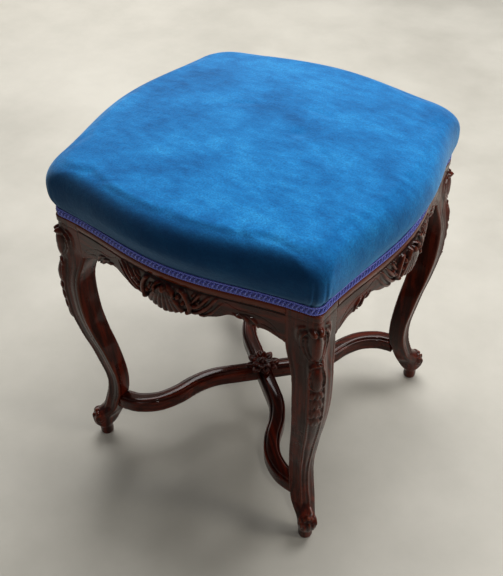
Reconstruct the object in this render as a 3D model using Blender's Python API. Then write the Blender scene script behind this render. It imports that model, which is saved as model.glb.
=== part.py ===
"""Square carved stool with cabriole legs, a curved X stretcher and a sprung velvet seat.

Metres, +Z up. The origin is on the floor under the middle of the seat, and the front is at -Y.
"""

import math

import bmesh
import bpy
from mathutils import Matrix, Vector

GAP = 0.0003  # left between pieces that touch

# Plan of the seat frame: a square with serpentine sides and rounded corners.
CORNER_HALF = 0.21
SIDE_BULGE = 0.026
CORNER_RADIUS = 0.015

# Heights.
FRAME_TOP = 0.469  # top of the visible wood, where the gimp starts
TACKING_TOP = 0.492  # top of the rails and legs, under the cover
LEDGE_Z = 0.437  # underside of the rails behind the carved apron
BAND_GROOVE_Z = 0.4565

# Rails.
RAIL_THICKNESS = 0.024
APRON_THICKNESS = 0.013
TACKING_SET_BACK = 0.004
TACKING_CORNER = 0.015  # width of the legs' cut-off corner there
BAND_PROUD = 0.001
RAIL_STATIONS = 20
SHELL_HALF = 0.042
SHELL_RELIEF = 0.009
SPRAY_RELIEF = 0.004
SPRAY_END = 0.085
# Lower edge of a rail from its middle to its end: distance along the side, height.
APRON_EDGE = (
    (0.000, 0.407),
    (0.020, 0.411),
    (0.035, 0.417),
    (0.055, 0.416),
    (0.075, 0.422),
    (0.090, 0.431),
    (0.105, 0.430),
    (0.120, 0.422),
    (0.140, 0.421),
    (0.155, 0.414),
    (0.165, 0.408),
)

# Legs. The top is a square block whose inner faces take the rails.
LEG_BLOCK = 0.046
BLOCK_INNER = CORNER_HALF - LEG_BLOCK
RAIL_END = BLOCK_INNER - GAP
LEG_FLARE = 0.0027  # the block's side edges swell to meet the curve of the rails
PANEL_CROWN = 0.3  # rise of the outer panel, as a share of its half width
LEG_EDGE = 0.0015  # softened edges
# Square part of the leg, from the block down to the ankle:
# height, outer faces' distance from the centre plane, side, width of the outer panel.
LEG_STATIONS = (
    (0.408, 0.2120, 0.0480, 0.012),
    (0.395, 0.2145, 0.0470, 0.018),
    (0.382, 0.2168, 0.0440, 0.021),
    (0.368, 0.2190, 0.0415, 0.022),
    (0.350, 0.2208, 0.0412, 0.022),
    (0.325, 0.2208, 0.0408, 0.022),
    (0.300, 0.2195, 0.0402, 0.022),
    (0.282, 0.2172, 0.0387, 0.020),
    (0.262, 0.2138, 0.0375, 0.019),
    (0.238, 0.2092, 0.0356, 0.017),
    (0.210, 0.2026, 0.0336, 0.016),
    (0.176, 0.1966, 0.0318, 0.014),
    (0.145, 0.1912, 0.0292, 0.013),
    (0.120, 0.1903, 0.0287, 0.012),
    (0.098, 0.1922, 0.0289, 0.012),
    (0.068, 0.1993, 0.0284, 0.013),
)
# Scroll foot, narrower than the leg: height, outer and inner distance from the centre
# along the diagonal, the same for its widest place, half width there, half width of the front.
FOOT_STATIONS = (
    (0.056, 0.2900, 0.2480, 0.2680, 0.0165, 0.0090),
    (0.049, 0.2975, 0.2515, 0.2760, 0.0145, 0.0110),
    (0.043, 0.3005, 0.2550, 0.2800, 0.0135, 0.0120),
    (0.033, 0.3005, 0.2600, 0.2820, 0.0130, 0.0125),
    (0.024, 0.2950, 0.2660, 0.2815, 0.0125, 0.0115),
)
PEG_RADIUS = 0.0112
PEG_DISTANCE = 0.2815
PEG_TOP = 0.0185

# Mortise and tenon joints.
RAIL_TENON = (0.014, 0.010, 0.036)  # length, thickness, height
RAIL_TENON_IN = 0.014  # its middle, in from the rail's face
RAIL_TENON_Z = 0.463
ARM_TENON = (0.013, 0.009, 0.012)
ARM_TENON_Z = 0.083

# Stretcher.
ARM_BOTTOM = 0.071
# Centreline of one arm, from the crossing to the leg.
ARM_PATH = (
    (-0.020, -0.018),
    (0.000, 0.000),
    (0.030, 0.027),
    (0.063, 0.058),
    (0.082, 0.090),
    (0.094, 0.124),
    (0.112, 0.153),
    (0.138, 0.172),
    (0.160, 0.178),
)
ARM_END_Y = 0.1785
ARM_STEPS = 2
# Half section of an arm: distance from the centreline, height above the underside.
ARM_SECTION = (
    (0.0115, 0.0000),
    (0.0130, 0.0020),
    (0.0130, 0.0185),
    (0.0112, 0.0196),
    (0.0095, 0.0235),
    (0.0000, 0.0247),
)
ROSETTE_RADIUS = 0.0285
ROSETTE_TOP = 0.1105
ROSETTE_PETALS = 8
DOWEL_RADIUS = 0.005
DOWEL_TOP = 0.1010

# Corner blocks.
BLOCK_Z = (0.440, 0.478)
BLOCK_DEPTH = 0.034
SCREW_ALONG = 0.125
SCREW_Z = 0.459
SCREW_SEAT = 0.1768
SCREW_TIP = 0.2080
SCREW_RADIUS = 0.0021
SCREW_HEAD_RADIUS = 0.0040
SCREW_HEAD = 0.0030

# Webbing, woven three by three, and its tacks.
WEB_WIDTH = 0.050
WEB_THICKNESS = 0.0015
WEB_PLACES = (-0.1, 0.0, 0.1)
WEB_MIDDLE_Z = 0.4340
WEB_WAVE = 0.00095
WEB_ENDS = {-0.1: 0.2050, 0.0: 0.2210, 0.1: 0.2050}
TACK_OUT = {-0.1: 0.2025, 0.0: 0.2170, 0.1: 0.2025}
TACK_RADIUS = 0.0008
TACK_HEAD_RADIUS = 0.0028
TACK_HEAD = 0.0008
TACK_LENGTH = 0.009

# Dust cover.
DUST_COVER_Z = (0.4308, 0.4316)

# Seat springs.
WIRE_RADIUS = 0.0016
SPRING_RADIUS = 0.036
SPRING_WAIST = 0.024
SPRING_Z = (0.4378, 0.5212)
SPRING_TURNS = 4
SPRING_POINTS_A_TURN = 8
SPRING_AT = 0.1

# Layers over the springs. Each ring is an offset from the frame's outline, a height, and how
# much further its sides bulge. Each last ring closes to a point over the middle of the seat.
HESSIAN_RINGS = (
    (-0.009, 0.4925, 0.0),
    (-0.032, 0.5100, 0.0),
    (-0.062, 0.5238, 0.0),
    (-0.130, 0.5258, 0.0),
)
HESSIAN_MIDDLE = 0.5262
HESSIAN_THICKNESS = 0.0012
VELVET_RINGS = (
    (-0.0020, 0.4696, 0.0000),
    (-0.0017, 0.4822, 0.0000),
    (0.0020, 0.4900, 0.0011),
    (0.0056, 0.5010, 0.0036),
    (0.0072, 0.5150, 0.0073),
    (0.0000, 0.5350, 0.0106),
    (-0.0145, 0.5480, 0.0165),
    (-0.0275, 0.5540, 0.0140),
    (-0.0900, 0.5620, 0.0090),
)
VELVET_MIDDLE = 0.5655
VELVET_THICKNESS = 0.0014
WADDING_FIRST_RING = 3
WADDING_THICKNESS = 0.005
SIDE_POINTS = 12
INNER_SIDE_POINTS = 8  # coarser, for the layers that nothing else meets closely
INNER_CLEARANCE = 0.0015
CORNER_POINTS = 3

# Gimp braid.
GIMP_Z = (0.4695, 0.4815)
GIMP_OFFSETS = (-0.0012, 0.0008)

CORNERS = {
    "back_right": (1, 1),
    "back_left": (-1, 1),
    "front_left": (-1, -1),
    "front_right": (1, -1),
}
SIDES = {"right": 0, "back": 90, "left": 180, "front": 270}

COLOURS = {
    "polished_walnut": ((0.030, 0.012, 0.008), 0.25, 0.0),
    "raw_beech": ((0.45, 0.30, 0.17), 0.65, 0.0),
    "blue_velvet": ((0.02, 0.19, 0.50), 0.85, 0.0),
    "violet_gimp": ((0.07, 0.07, 0.55), 0.70, 0.0),
    "jute_webbing": ((0.42, 0.30, 0.16), 0.90, 0.0),
    "hessian": ((0.38, 0.27, 0.14), 0.95, 0.0),
    "horsehair": ((0.07, 0.05, 0.04), 0.95, 0.0),
    "cotton_wadding": ((0.80, 0.77, 0.70), 0.95, 0.0),
    "black_cambric": ((0.015, 0.015, 0.016), 0.90, 0.0),
    "spring_steel": ((0.35, 0.34, 0.33), 0.40, 1.0),
    "blued_steel": ((0.08, 0.08, 0.10), 0.35, 1.0),
}


def clear_scene():
    for obj in list(bpy.data.objects):
        bpy.data.objects.remove(obj, do_unlink=True)


def new_collection(name):
    collection = bpy.data.collections.new(name)
    bpy.context.scene.collection.children.link(collection)
    return collection


def make_material(name):
    colour, roughness, metallic = COLOURS[name]
    material = bpy.data.materials.new(name)
    material.use_nodes = True
    shader = material.node_tree.nodes["Principled BSDF"]
    shader.inputs["Base Color"].default_value = (*colour, 1.0)
    shader.inputs["Roughness"].default_value = roughness
    shader.inputs["Metallic"].default_value = metallic
    return material


def add_piece(name, mesh, material_name):
    obj = bpy.data.objects.new(name, mesh)
    PARTS.objects.link(obj)
    if not mesh.materials:
        mesh.materials.append(MATERIALS[material_name])
    return obj


def add_cutter(name, mesh):
    obj = bpy.data.objects.new(name, mesh)
    CUTTERS.objects.link(obj)
    obj.hide_render = True
    obj.display_type = "WIRE"
    return obj


def boolean(obj, cutter, operation="DIFFERENCE"):
    modifier = obj.modifiers.new(f"{operation.lower()} {cutter.name}", "BOOLEAN")
    modifier.operation = operation
    modifier.object = cutter


def finish_mesh(bm, name, sharp_degrees=35):
    bmesh.ops.recalc_face_normals(bm, faces=bm.faces)
    mesh = bpy.data.meshes.new(name)
    bm.to_mesh(mesh)
    bm.free()
    mesh.shade_smooth()
    mesh.set_sharp_from_angle(angle=math.radians(sharp_degrees))
    return mesh


def add_loft(bm, rings, closed=False, caps=True, middle=None):
    """Skins rings of equal length. middle closes the last ring to a point."""
    loops = [[bm.verts.new(point) for point in ring] for ring in rings]
    pairs = list(zip(loops, loops[1:]))
    if closed:
        pairs.append((loops[-1], loops[0]))
    for low, high in pairs:
        for i in range(len(low)):
            j = (i + 1) % len(low)
            bm.faces.new((low[i], low[j], high[j], high[i]))
    if middle is not None:
        top = bm.verts.new(middle)
        last = loops[-1]
        for i in range(len(last)):
            bm.faces.new((last[i], last[(i + 1) % len(last)], top))
    elif caps and not closed:
        bm.faces.new(loops[0])
        bm.faces.new(loops[-1])


def add_box(bm, low, high):
    low, high = Vector(low), Vector(high)
    matrix = Matrix.Translation((low + high) / 2) @ Matrix.Diagonal((*(high - low), 1))
    bmesh.ops.create_cube(bm, size=1, matrix=matrix)


def add_turned(bm, profile, matrix, segments=8):
    """One closed turned body from (radius, height) points, lowest first."""
    rings = []
    for radius, height in profile:
        ring = []
        for i in range(segments):
            angle = math.tau * i / segments
            point = Vector((radius * math.cos(angle), radius * math.sin(angle), height))
            ring.append(matrix @ point)
        rings.append(ring)
    add_loft(bm, rings)


def interpolate(table, x):
    """Height at x on a smooth curve through a table of (x, height) points."""
    for (x0, z0), (x1, z1) in zip(table, table[1:]):
        if x <= x1:
            share = (x - x0) / (x1 - x0)
            return z0 + (z1 - z0) * share * share * (3 - 2 * share)
    return table[-1][1]


def side_distance(along, extra_bulge=0.0):
    """How far a side of the frame stands from the centre, at a distance along it."""
    swell = (1 + math.cos(math.pi * along / CORNER_HALF)) / 2
    return CORNER_HALF + (SIDE_BULGE + extra_bulge) * swell


def outline(offset, side_points, extra_bulge):
    """Plan outline of the seat frame, moved out by offset. Deep insets are scaled."""
    held = max(offset, -0.012)
    scale = (CORNER_HALF + offset) / (CORNER_HALF + held)
    straight = CORNER_HALF - CORNER_RADIUS
    side = []
    for i in range(side_points + 1):
        along = straight * (2 * i / side_points - 1)
        side.append((side_distance(along, extra_bulge) + held, along))
    for i in range(1, CORNER_POINTS + 1):
        angle = math.pi / 2 * i / (CORNER_POINTS + 1)
        radius = CORNER_RADIUS + held
        side.append((straight + radius * math.cos(angle), straight + radius * math.sin(angle)))
    points = []
    for turn in range(4):
        c, s = round(math.cos(math.pi / 2 * turn)), round(math.sin(math.pi / 2 * turn))
        points += [(scale * (c * x - s * y), scale * (s * x + c * y)) for x, y in side]
    return points


def ring_at(offset, height, extra_bulge=0.0, side_points=SIDE_POINTS):
    return [(x, y, height) for x, y in outline(offset, side_points, extra_bulge)]


# ---------------------------------------------------------------- legs


def from_diagonal(distance, across, height):
    """Point of the back right leg from its place along and across the diagonal."""
    root = math.sqrt(0.5)
    return ((distance - across) * root, (distance + across) * root, height)


def leg_ring(height, outer, side, panel, flare=0.0):
    """Square section with its outer corner cut to a crowned panel."""
    corner = outer * math.sqrt(2)
    reach = side / math.sqrt(2)
    half = panel / 2
    crown = PANEL_CROWN * half
    out = flare / math.sqrt(2)
    middle = corner - reach
    right_half = (
        (corner - half + crown * 0.75, half * 0.5),
        (corner - half, half),
        (middle + LEG_EDGE + out, reach - LEG_EDGE + out),
        (middle - LEG_EDGE, reach - LEG_EDGE),
        (corner - 2 * reach + LEG_EDGE, LEG_EDGE),
    )
    front = [(corner - half + crown, 0.0)]
    section = front + list(right_half) + [(d, -a) for d, a in reversed(right_half)]
    return [from_diagonal(d, a, height) for d, a in section]


def foot_ring(height, outer, inner, middle, half, front):
    right_half = (
        (outer - 0.0008, front * 0.5),
        (outer - 0.0030, front),
        (middle + 0.006, half),
        (middle - 0.004, half),
        (inner, half * 0.35),
    )
    section = [(outer, 0.0)] + list(right_half) + [(d, -a) for d, a in reversed(right_half)]
    return [from_diagonal(d, a, height) for d, a in section]


def peg_ring(height, radius):
    ring = []
    for i in range(11):
        angle = math.tau * i / 11
        distance = PEG_DISTANCE + radius * math.cos(angle)
        ring.append(from_diagonal(distance, radius * math.sin(angle), height))
    return ring


def make_leg_mesh():
    """Leg at the back right corner, from the tacking top down to the floor."""
    set_back = CORNER_HALF - TACKING_SET_BACK
    rings = []
    for height in (TACKING_TOP, FRAME_TOP):
        rings.append(leg_ring(height, set_back, set_back - BLOCK_INNER, TACKING_CORNER))
    for height in (FRAME_TOP, 0.440, 0.420):
        rings.append(leg_ring(height, CORNER_HALF, LEG_BLOCK, 0.010, LEG_FLARE))
    rings += [leg_ring(*station) for station in LEG_STATIONS]
    rings += [foot_ring(*station) for station in FOOT_STATIONS]
    rings.append(peg_ring(PEG_TOP, PEG_RADIUS))
    rings.append(peg_ring(0.0, PEG_RADIUS))
    bm = bmesh.new()
    add_loft(bm, rings)
    return finish_mesh(bm, "leg")


def tenon_box(bm, side, slack, part):
    """Both tenons of the rail at +X, grown by slack, or reaching back into the rail."""
    length, thickness, height = RAIL_TENON
    middle = side_distance(BLOCK_INNER) - RAIL_TENON_IN
    back = 0.004 if part == "rail" else 0.001
    turn = Matrix.Rotation(math.radians(SIDES[side]), 4, "Z")
    for sign in (-1, 1):
        near = sign * (BLOCK_INNER - back)
        far = sign * (BLOCK_INNER + length + slack)
        low = (middle - thickness / 2 - slack, min(near, far), RAIL_TENON_Z - height / 2 - slack)
        high = (middle + thickness / 2 + slack, max(near, far), RAIL_TENON_Z + height / 2 + slack)
        part_bm = bmesh.new()
        add_box(part_bm, low, high)
        part_bm.transform(turn)
        merge_into(bm, part_bm)


def merge_into(bm, other):
    mesh = bpy.data.meshes.new("part")
    other.to_mesh(mesh)
    other.free()
    bm.from_mesh(mesh)
    bpy.data.meshes.remove(mesh)


def arm_tenon_box(bm, signs, slack, back):
    length, thickness, height = ARM_TENON
    sx, sy = signs
    face = leg_inner_face(ARM_TENON_Z)
    xs = sorted((sx * (face - back), sx * (face + length + slack)))
    ys = sorted((sy * (ARM_END_Y - thickness / 2 - slack), sy * (ARM_END_Y + thickness / 2 + slack)))
    low = (xs[0], ys[0], ARM_TENON_Z - height / 2 - slack)
    high = (xs[1], ys[1], ARM_TENON_Z + height / 2 + slack)
    add_box(bm, low, high)


def leg_inner_face(height):
    """Distance of a leg's inner faces from the centre plane, where the arms meet it."""
    (z0, outer0, side0, _), (z1, outer1, side1, _) = LEG_STATIONS[-2:]
    share = (height - z0) / (z1 - z0)
    return (outer0 - side0) + ((outer1 - side1) - (outer0 - side0)) * share


def make_legs():
    bm = bmesh.new()
    for side in SIDES:
        tenon_box(bm, side, GAP, "leg")
    for signs in CORNERS.values():
        arm_tenon_box(bm, signs, GAP, 0.006)
    mortises = add_cutter("mortises", finish_mesh(bm, "mortises"))
    mesh = make_leg_mesh()
    for number, corner in enumerate(CORNERS):
        leg = add_piece(f"leg_{corner}", mesh, "polished_walnut")
        leg.rotation_euler.z = math.radians(90 * number)
        boolean(leg, mortises)


# ---------------------------------------------------------------- rails


def relief(along):
    """How far the carving stands out of the rail: the shell, then the spray of leaves."""
    place = abs(along)
    if place < SHELL_HALF:
        return SPRAY_RELIEF + (SHELL_RELIEF - SPRAY_RELIEF) * math.cos(math.pi / 2 * place / SHELL_HALF)
    if place < SPRAY_END:
        return SPRAY_RELIEF * math.cos(math.pi / 2 * (place - SHELL_HALF) / (SPRAY_END - SHELL_HALF))
    return 0.0


def rail_ring(along):
    face = side_distance(along)
    low = interpolate(APRON_EDGE, abs(along))
    carved = relief(along)
    section = (
        (-RAIL_THICKNESS, TACKING_TOP),
        (-TACKING_SET_BACK, TACKING_TOP),
        (-TACKING_SET_BACK, FRAME_TOP),
        (BAND_PROUD, FRAME_TOP),
        (BAND_PROUD, BAND_GROOVE_Z + 0.002),
        (-BAND_PROUD, BAND_GROOVE_Z),
        (carved * 0.6, BAND_GROOVE_Z - 0.003),
        (carved, (BAND_GROOVE_Z + low) / 2),
        (carved * 0.7 - 0.001, low + 0.002),
        (-0.003, low),
        (-APRON_THICKNESS, low),
        (-APRON_THICKNESS, LEDGE_Z),
        (-RAIL_THICKNESS, LEDGE_Z),
    )
    return [(face + out, along, height) for out, height in section]


def make_rails(hole_cutter):
    """Each rail is made at +X and turned to its side."""
    bm = bmesh.new()
    places = [RAIL_END * (2 * i / RAIL_STATIONS - 1) for i in range(RAIL_STATIONS + 1)]
    add_loft(bm, [rail_ring(along) for along in places])
    mesh = finish_mesh(bm, "rail")
    for side, turn in SIDES.items():
        rail = add_piece(f"rail_{side}", mesh, "polished_walnut")
        rail.rotation_euler.z = math.radians(turn)
        bm = bmesh.new()
        tenon_box(bm, side, 0.0, "rail")
        boolean(rail, add_cutter(f"tenons_{side}", finish_mesh(bm, "tenons")), "UNION")
        boolean(rail, hole_cutter)


# ---------------------------------------------------------------- corner blocks


def rail_inside_at(total):
    """Where the line x + y = total meets the inner face of the rail at +X."""
    y = total / 2
    for _ in range(40):
        x = side_distance(y) - RAIL_THICKNESS - 2 * GAP
        y = 0.5 * y + 0.5 * (total - x)
    return x, total - x


def make_corner_block(corner, signs, hole_cutter):
    outer_line = 2 * BLOCK_INNER - 2 * GAP
    ax, ay = rail_inside_at(outer_line)
    bx, by = rail_inside_at(outer_line - BLOCK_DEPTH)
    plan = [(ax, ay), (ay, ax), (by, bx), (bx, by)]
    sx, sy = signs
    rings = [[(sx * x, sy * y, z) for x, y in plan] for z in BLOCK_Z]
    bm = bmesh.new()
    add_loft(bm, rings)
    block = add_piece(f"corner_block_{corner}", finish_mesh(bm, "corner_block"), "raw_beech")
    boolean(block, hole_cutter)


def screw_places():
    """Name and matrix of each screw, whose own +Z points along the screw into the rail."""
    for corner, (sx, sy) in CORNERS.items():
        side_rail = Matrix.Translation((0, sy * SCREW_ALONG, SCREW_Z))
        yield f"{corner}_side", side_rail @ Matrix.Rotation(math.radians(90 * sx), 4, "Y")
        end_rail = Matrix.Translation((sx * SCREW_ALONG, 0, SCREW_Z))
        yield f"{corner}_end", end_rail @ Matrix.Rotation(math.radians(-90 * sy), 4, "X")


def screw_profile(slack):
    head = SCREW_HEAD_RADIUS + slack
    shank = SCREW_RADIUS + slack
    if slack:
        return [(head, 0.14), (head, SCREW_SEAT + slack), (shank, SCREW_SEAT + slack),
                (shank, SCREW_TIP + slack)]
    return [(head * 0.7, SCREW_SEAT - SCREW_HEAD), (head, SCREW_SEAT - SCREW_HEAD + 0.001),
            (head, SCREW_SEAT), (shank, SCREW_SEAT), (shank, SCREW_TIP - 0.003),
            (shank * 0.3, SCREW_TIP)]


# ---------------------------------------------------------------- webbing and tacks


def web_height(along, own, first_family):
    """Middle height of a strip: up to the ledge at its ends, over and under between."""
    end = WEB_ENDS[own]
    ledge = LEDGE_Z - GAP - WEB_THICKNESS / 2
    if abs(along) > end - 0.030:
        return ledge
    wave = 0.0
    for number, crossing in enumerate(WEB_PLACES):
        if abs(along - crossing) < WEB_WIDTH / 2 + 0.003:
            over = (number + WEB_PLACES.index(own)) % 2 == 0
            wave = WEB_WAVE if over == first_family else -WEB_WAVE
    return WEB_MIDDLE_Z + wave


def make_webbing(name, own, first_family, hole_cutter):
    end = WEB_ENDS[own]
    beside = WEB_WIDTH / 2 + 0.002
    stops = [end, end - 0.025] + [WEB_PLACES[2] + beside, WEB_PLACES[2] - beside, beside]
    places = [-stop for stop in stops] + stops[::-1]
    rings = []
    for along in places:
        middle = web_height(along, own, first_family)
        ring = []
        for across, up in ((-0.5, -0.5), (0.5, -0.5), (0.5, 0.5), (-0.5, 0.5)):
            beside = own + across * WEB_WIDTH
            height = middle + up * WEB_THICKNESS
            ring.append((along, beside, height) if first_family else (beside, along, height))
        rings.append(ring)
    bm = bmesh.new()
    add_loft(bm, rings)
    strip = add_piece(name, finish_mesh(bm, name), "jute_webbing")
    boolean(strip, hole_cutter)


def webbing_tack_places():
    """One tack at each end of each strip."""
    height = LEDGE_Z - 2 * GAP - WEB_THICKNESS
    for own in WEB_PLACES:
        for out in (-TACK_OUT[own], TACK_OUT[own]):
            yield Vector((out, own, height))
            yield Vector((own, out, height))


def tack_profile(slack):
    shank = TACK_RADIUS + slack
    if slack:
        return [(shank, -0.002), (shank, TACK_LENGTH + slack)]
    return [(TACK_HEAD_RADIUS * 0.5, -TACK_HEAD), (TACK_HEAD_RADIUS, -TACK_HEAD / 2),
            (TACK_HEAD_RADIUS, 0), (shank, 0), (shank, TACK_LENGTH - 0.002),
            (shank * 0.3, TACK_LENGTH)]


def make_fastener_holes():
    """One cutter for every screw and tack hole in the rails, blocks and webbing."""
    bm = bmesh.new()
    for _, matrix in screw_places():
        add_turned(bm, screw_profile(GAP), matrix)
    for place in webbing_tack_places():
        add_turned(bm, tack_profile(GAP), Matrix.Translation(place), 6)
    return add_cutter("fastener_holes", finish_mesh(bm, "fastener_holes"))


def make_fasteners():
    bm = bmesh.new()
    add_turned(bm, screw_profile(0.0), Matrix.Identity(4))
    screw_mesh = finish_mesh(bm, "screw")
    for name, matrix in screw_places():
        add_piece(f"screw_{name}", screw_mesh, "spring_steel").matrix_world = matrix
    bm = bmesh.new()
    add_turned(bm, tack_profile(0.0), Matrix.Identity(4), 6)
    tack_mesh = finish_mesh(bm, "tack")
    for number, place in enumerate(webbing_tack_places(), start=1):
        add_piece(f"webbing_tack_{number}", tack_mesh, "blued_steel").location = place


def make_dust_cover():
    """A flat sheet inside the carved aprons, cut square round the legs."""
    edge = BLOCK_INNER - 0.001
    side = []
    for i in range(SIDE_POINTS + 1):
        along = edge * (2 * i / SIDE_POINTS - 1)
        side.append((side_distance(along) - APRON_THICKNESS - 0.001, along))
    side.append((edge, edge))
    plan = []
    for turn in range(4):
        c, s = round(math.cos(math.pi / 2 * turn)), round(math.sin(math.pi / 2 * turn))
        plan += [(c * x - s * y, s * x + c * y) for x, y in side]
    bm = bmesh.new()
    add_loft(bm, [[(x, y, z) for x, y in plan] for z in DUST_COVER_Z])
    add_piece("dust_cover", finish_mesh(bm, "dust_cover"), "black_cambric")


# ---------------------------------------------------------------- stretcher


def smooth_path(points, steps):
    """Catmull-Rom curve through the points, from the second to the last."""
    padded = list(points) + [
        (2 * points[-1][0] - points[-2][0], 2 * points[-1][1] - points[-2][1])
    ]
    path = []
    for i in range(1, len(points) - 1):
        p0, p1, p2, p3 = (Vector(p) for p in padded[i - 1 : i + 3])
        for k in range(steps):
            t = k / steps
            path.append(
                0.5
                * (
                    2 * p1
                    + (p2 - p0) * t
                    + (2 * p0 - 5 * p1 + 4 * p2 - p3) * t * t
                    + (3 * p1 - p0 - 3 * p2 + p3) * t**3
                )
            )
    path.append(Vector(points[-1]))
    return path


def make_arm(corner, signs, dowel_hole):
    sx, sy = signs
    half = list(ARM_SECTION)
    section = [(w, h) for w, h in half] + [(-w, h) for w, h in reversed(half[:-1])]
    path = [Vector(ARM_PATH[0])] + smooth_path(ARM_PATH, ARM_STEPS)
    rings = []
    for i, point in enumerate(path[:-1]):
        ahead = path[i + 1] - path[max(i - 1, 0)]
        normal = Vector((ahead.y, -ahead.x)).normalized()
        ring = []
        for w, h in section:
            place = point + normal * w
            ring.append((sx * place.x, sy * place.y, ARM_BOTTOM + h))
        rings.append(ring)
    last = []
    for w, h in section:
        height = ARM_BOTTOM + h
        last.append((sx * (leg_inner_face(height) - 2 * GAP), sy * (ARM_END_Y - w), height))
    rings.append(last)
    bm = bmesh.new()
    add_loft(bm, rings)
    arm = add_piece(f"stretcher_arm_{corner}", finish_mesh(bm, "arm"), "polished_walnut")
    bm = bmesh.new()
    xs = sorted((sx * GAP / 2, sx * 0.25))
    ys = sorted((sy * GAP / 2, sy * 0.25))
    add_box(bm, (xs[0], ys[0], 0.05), (xs[1], ys[1], 0.12))
    boolean(arm, add_cutter(f"quarter_{corner}", finish_mesh(bm, "quarter")), "INTERSECT")
    bm = bmesh.new()
    arm_tenon_box(bm, signs, 0.0, 0.008)
    boolean(arm, add_cutter(f"tenon_{corner}", finish_mesh(bm, "tenon")), "UNION")
    boolean(arm, dowel_hole)


def make_stretcher():
    bm = bmesh.new()
    radius = DOWEL_RADIUS + GAP
    add_turned(bm, [(radius, 0.05), (radius, DOWEL_TOP + GAP)], Matrix.Identity(4), 12)
    dowel_hole = add_cutter("dowel_hole", finish_mesh(bm, "dowel_hole"))
    for corner, signs in CORNERS.items():
        make_arm(corner, signs, dowel_hole)
    bm = bmesh.new()
    profile = [(DOWEL_RADIUS, ARM_BOTTOM + 0.001), (DOWEL_RADIUS, DOWEL_TOP)]
    add_turned(bm, profile, Matrix.Identity(4), 12)
    add_piece("stretcher_dowel", finish_mesh(bm, "dowel"), "raw_beech")
    rosette = add_piece("stretcher_rosette", make_rosette_mesh(), "polished_walnut")
    boolean(rosette, dowel_hole)


def make_rosette_mesh():
    """An eight-petalled flower with a domed heart."""
    base = ARM_BOTTOM + ARM_SECTION[-1][1] + GAP
    profile = ((1.0, base), (1.0, base + 0.004), (0.72, ROSETTE_TOP - 0.004),
               (0.38, ROSETTE_TOP - 0.006), (0.30, ROSETTE_TOP - 0.001))
    count = ROSETTE_PETALS * 4
    rings = []
    for share, height in profile:
        ring = []
        for i in range(count):
            angle = math.tau * i / count
            lobe = 0.84 + 0.16 * abs(math.cos(angle * ROSETTE_PETALS / 2))
            radius = ROSETTE_RADIUS * share * (lobe if share > 0.5 else 1.0)
            ring.append((radius * math.cos(angle), radius * math.sin(angle), height))
        rings.append(ring)
    bm = bmesh.new()
    add_loft(bm, rings, caps=False, middle=(0, 0, ROSETTE_TOP))
    bmesh.ops.holes_fill(bm, edges=[e for e in bm.edges if e.is_boundary])
    return finish_mesh(bm, "rosette")


# ---------------------------------------------------------------- springs


def make_spring(name, x, y):
    """Hourglass coil of wire with its end turns lying flat."""
    low, high = SPRING_Z
    curve = bpy.data.curves.new(name, "CURVE")
    curve.dimensions = "3D"
    curve.bevel_depth = WIRE_RADIUS
    curve.bevel_resolution = 1
    curve.use_fill_caps = True
    count = SPRING_TURNS * SPRING_POINTS_A_TURN
    spline = curve.splines.new("POLY")
    spline.points.add(count)
    for i in range(count + 1):
        share = i / count
        angle = math.tau * SPRING_TURNS * share
        radius = SPRING_WAIST + (SPRING_RADIUS - SPRING_WAIST) * abs(2 * share - 1) ** 1.4
        rise = min(max((share - 0.2) / 0.6, 0.0), 1.0)
        height = low + (high - low) * (0.04 * share + 0.96 * rise)
        point = (radius * math.cos(angle), radius * math.sin(angle), height, 1.0)
        spline.points[i].co = point
    obj = bpy.data.objects.new(name, curve)
    obj.location = (x, y, 0)
    PARTS.objects.link(obj)
    curve.materials.append(MATERIALS["spring_steel"])


def make_springs():
    make_spring("spring_centre", 0, 0)
    for corner, (sx, sy) in CORNERS.items():
        make_spring(f"spring_{corner}", sx * SPRING_AT, sy * SPRING_AT)


# ---------------------------------------------------------------- soft layers


def inset_profile(profile, depth):
    """Moves a profile of rings inwards and down by depth."""
    moved = []
    for i, (offset, height, extra_bulge) in enumerate(profile):
        before = profile[max(i - 1, 0)]
        after = profile[min(i + 1, len(profile) - 1)]
        along = Vector((after[0] - before[0], after[1] - before[1])).normalized()
        moved.append((offset - along.y * depth, height + along.x * depth, extra_bulge))
    return moved


def make_shell(name, profile, middle, thickness, material_name, side_points):
    """A skin open at the bottom: outer rings, then inner rings, joined at the lower edge."""
    bm = bmesh.new()
    outer = [ring_at(*ring, side_points) for ring in profile]
    inner = [ring_at(*ring, side_points) for ring in inset_profile(profile, thickness)]
    add_loft(bm, outer, caps=False, middle=(0, 0, middle))
    add_loft(bm, inner, caps=False, middle=(0, 0, middle - thickness))
    bmesh.ops.bridge_loops(bm, edges=[e for e in bm.edges if e.is_boundary])
    add_piece(name, finish_mesh(bm, name), material_name)


def make_soft_layers():
    make_shell("velvet_cover", VELVET_RINGS, VELVET_MIDDLE, VELVET_THICKNESS,
               "blue_velvet", SIDE_POINTS)
    depth = VELVET_THICKNESS + INNER_CLEARANCE
    under = inset_profile(VELVET_RINGS[WADDING_FIRST_RING:], depth)
    make_shell("wadding", under, VELVET_MIDDLE - depth, WADDING_THICKNESS,
               "cotton_wadding", INNER_SIDE_POINTS)
    make_shell("spring_hessian", inset_profile(HESSIAN_RINGS, -HESSIAN_THICKNESS),
               HESSIAN_MIDDLE + HESSIAN_THICKNESS, HESSIAN_THICKNESS,
               "hessian", INNER_SIDE_POINTS)
    make_stuffing(inset_profile(under, WADDING_THICKNESS + 2 * GAP), depth)


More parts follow.
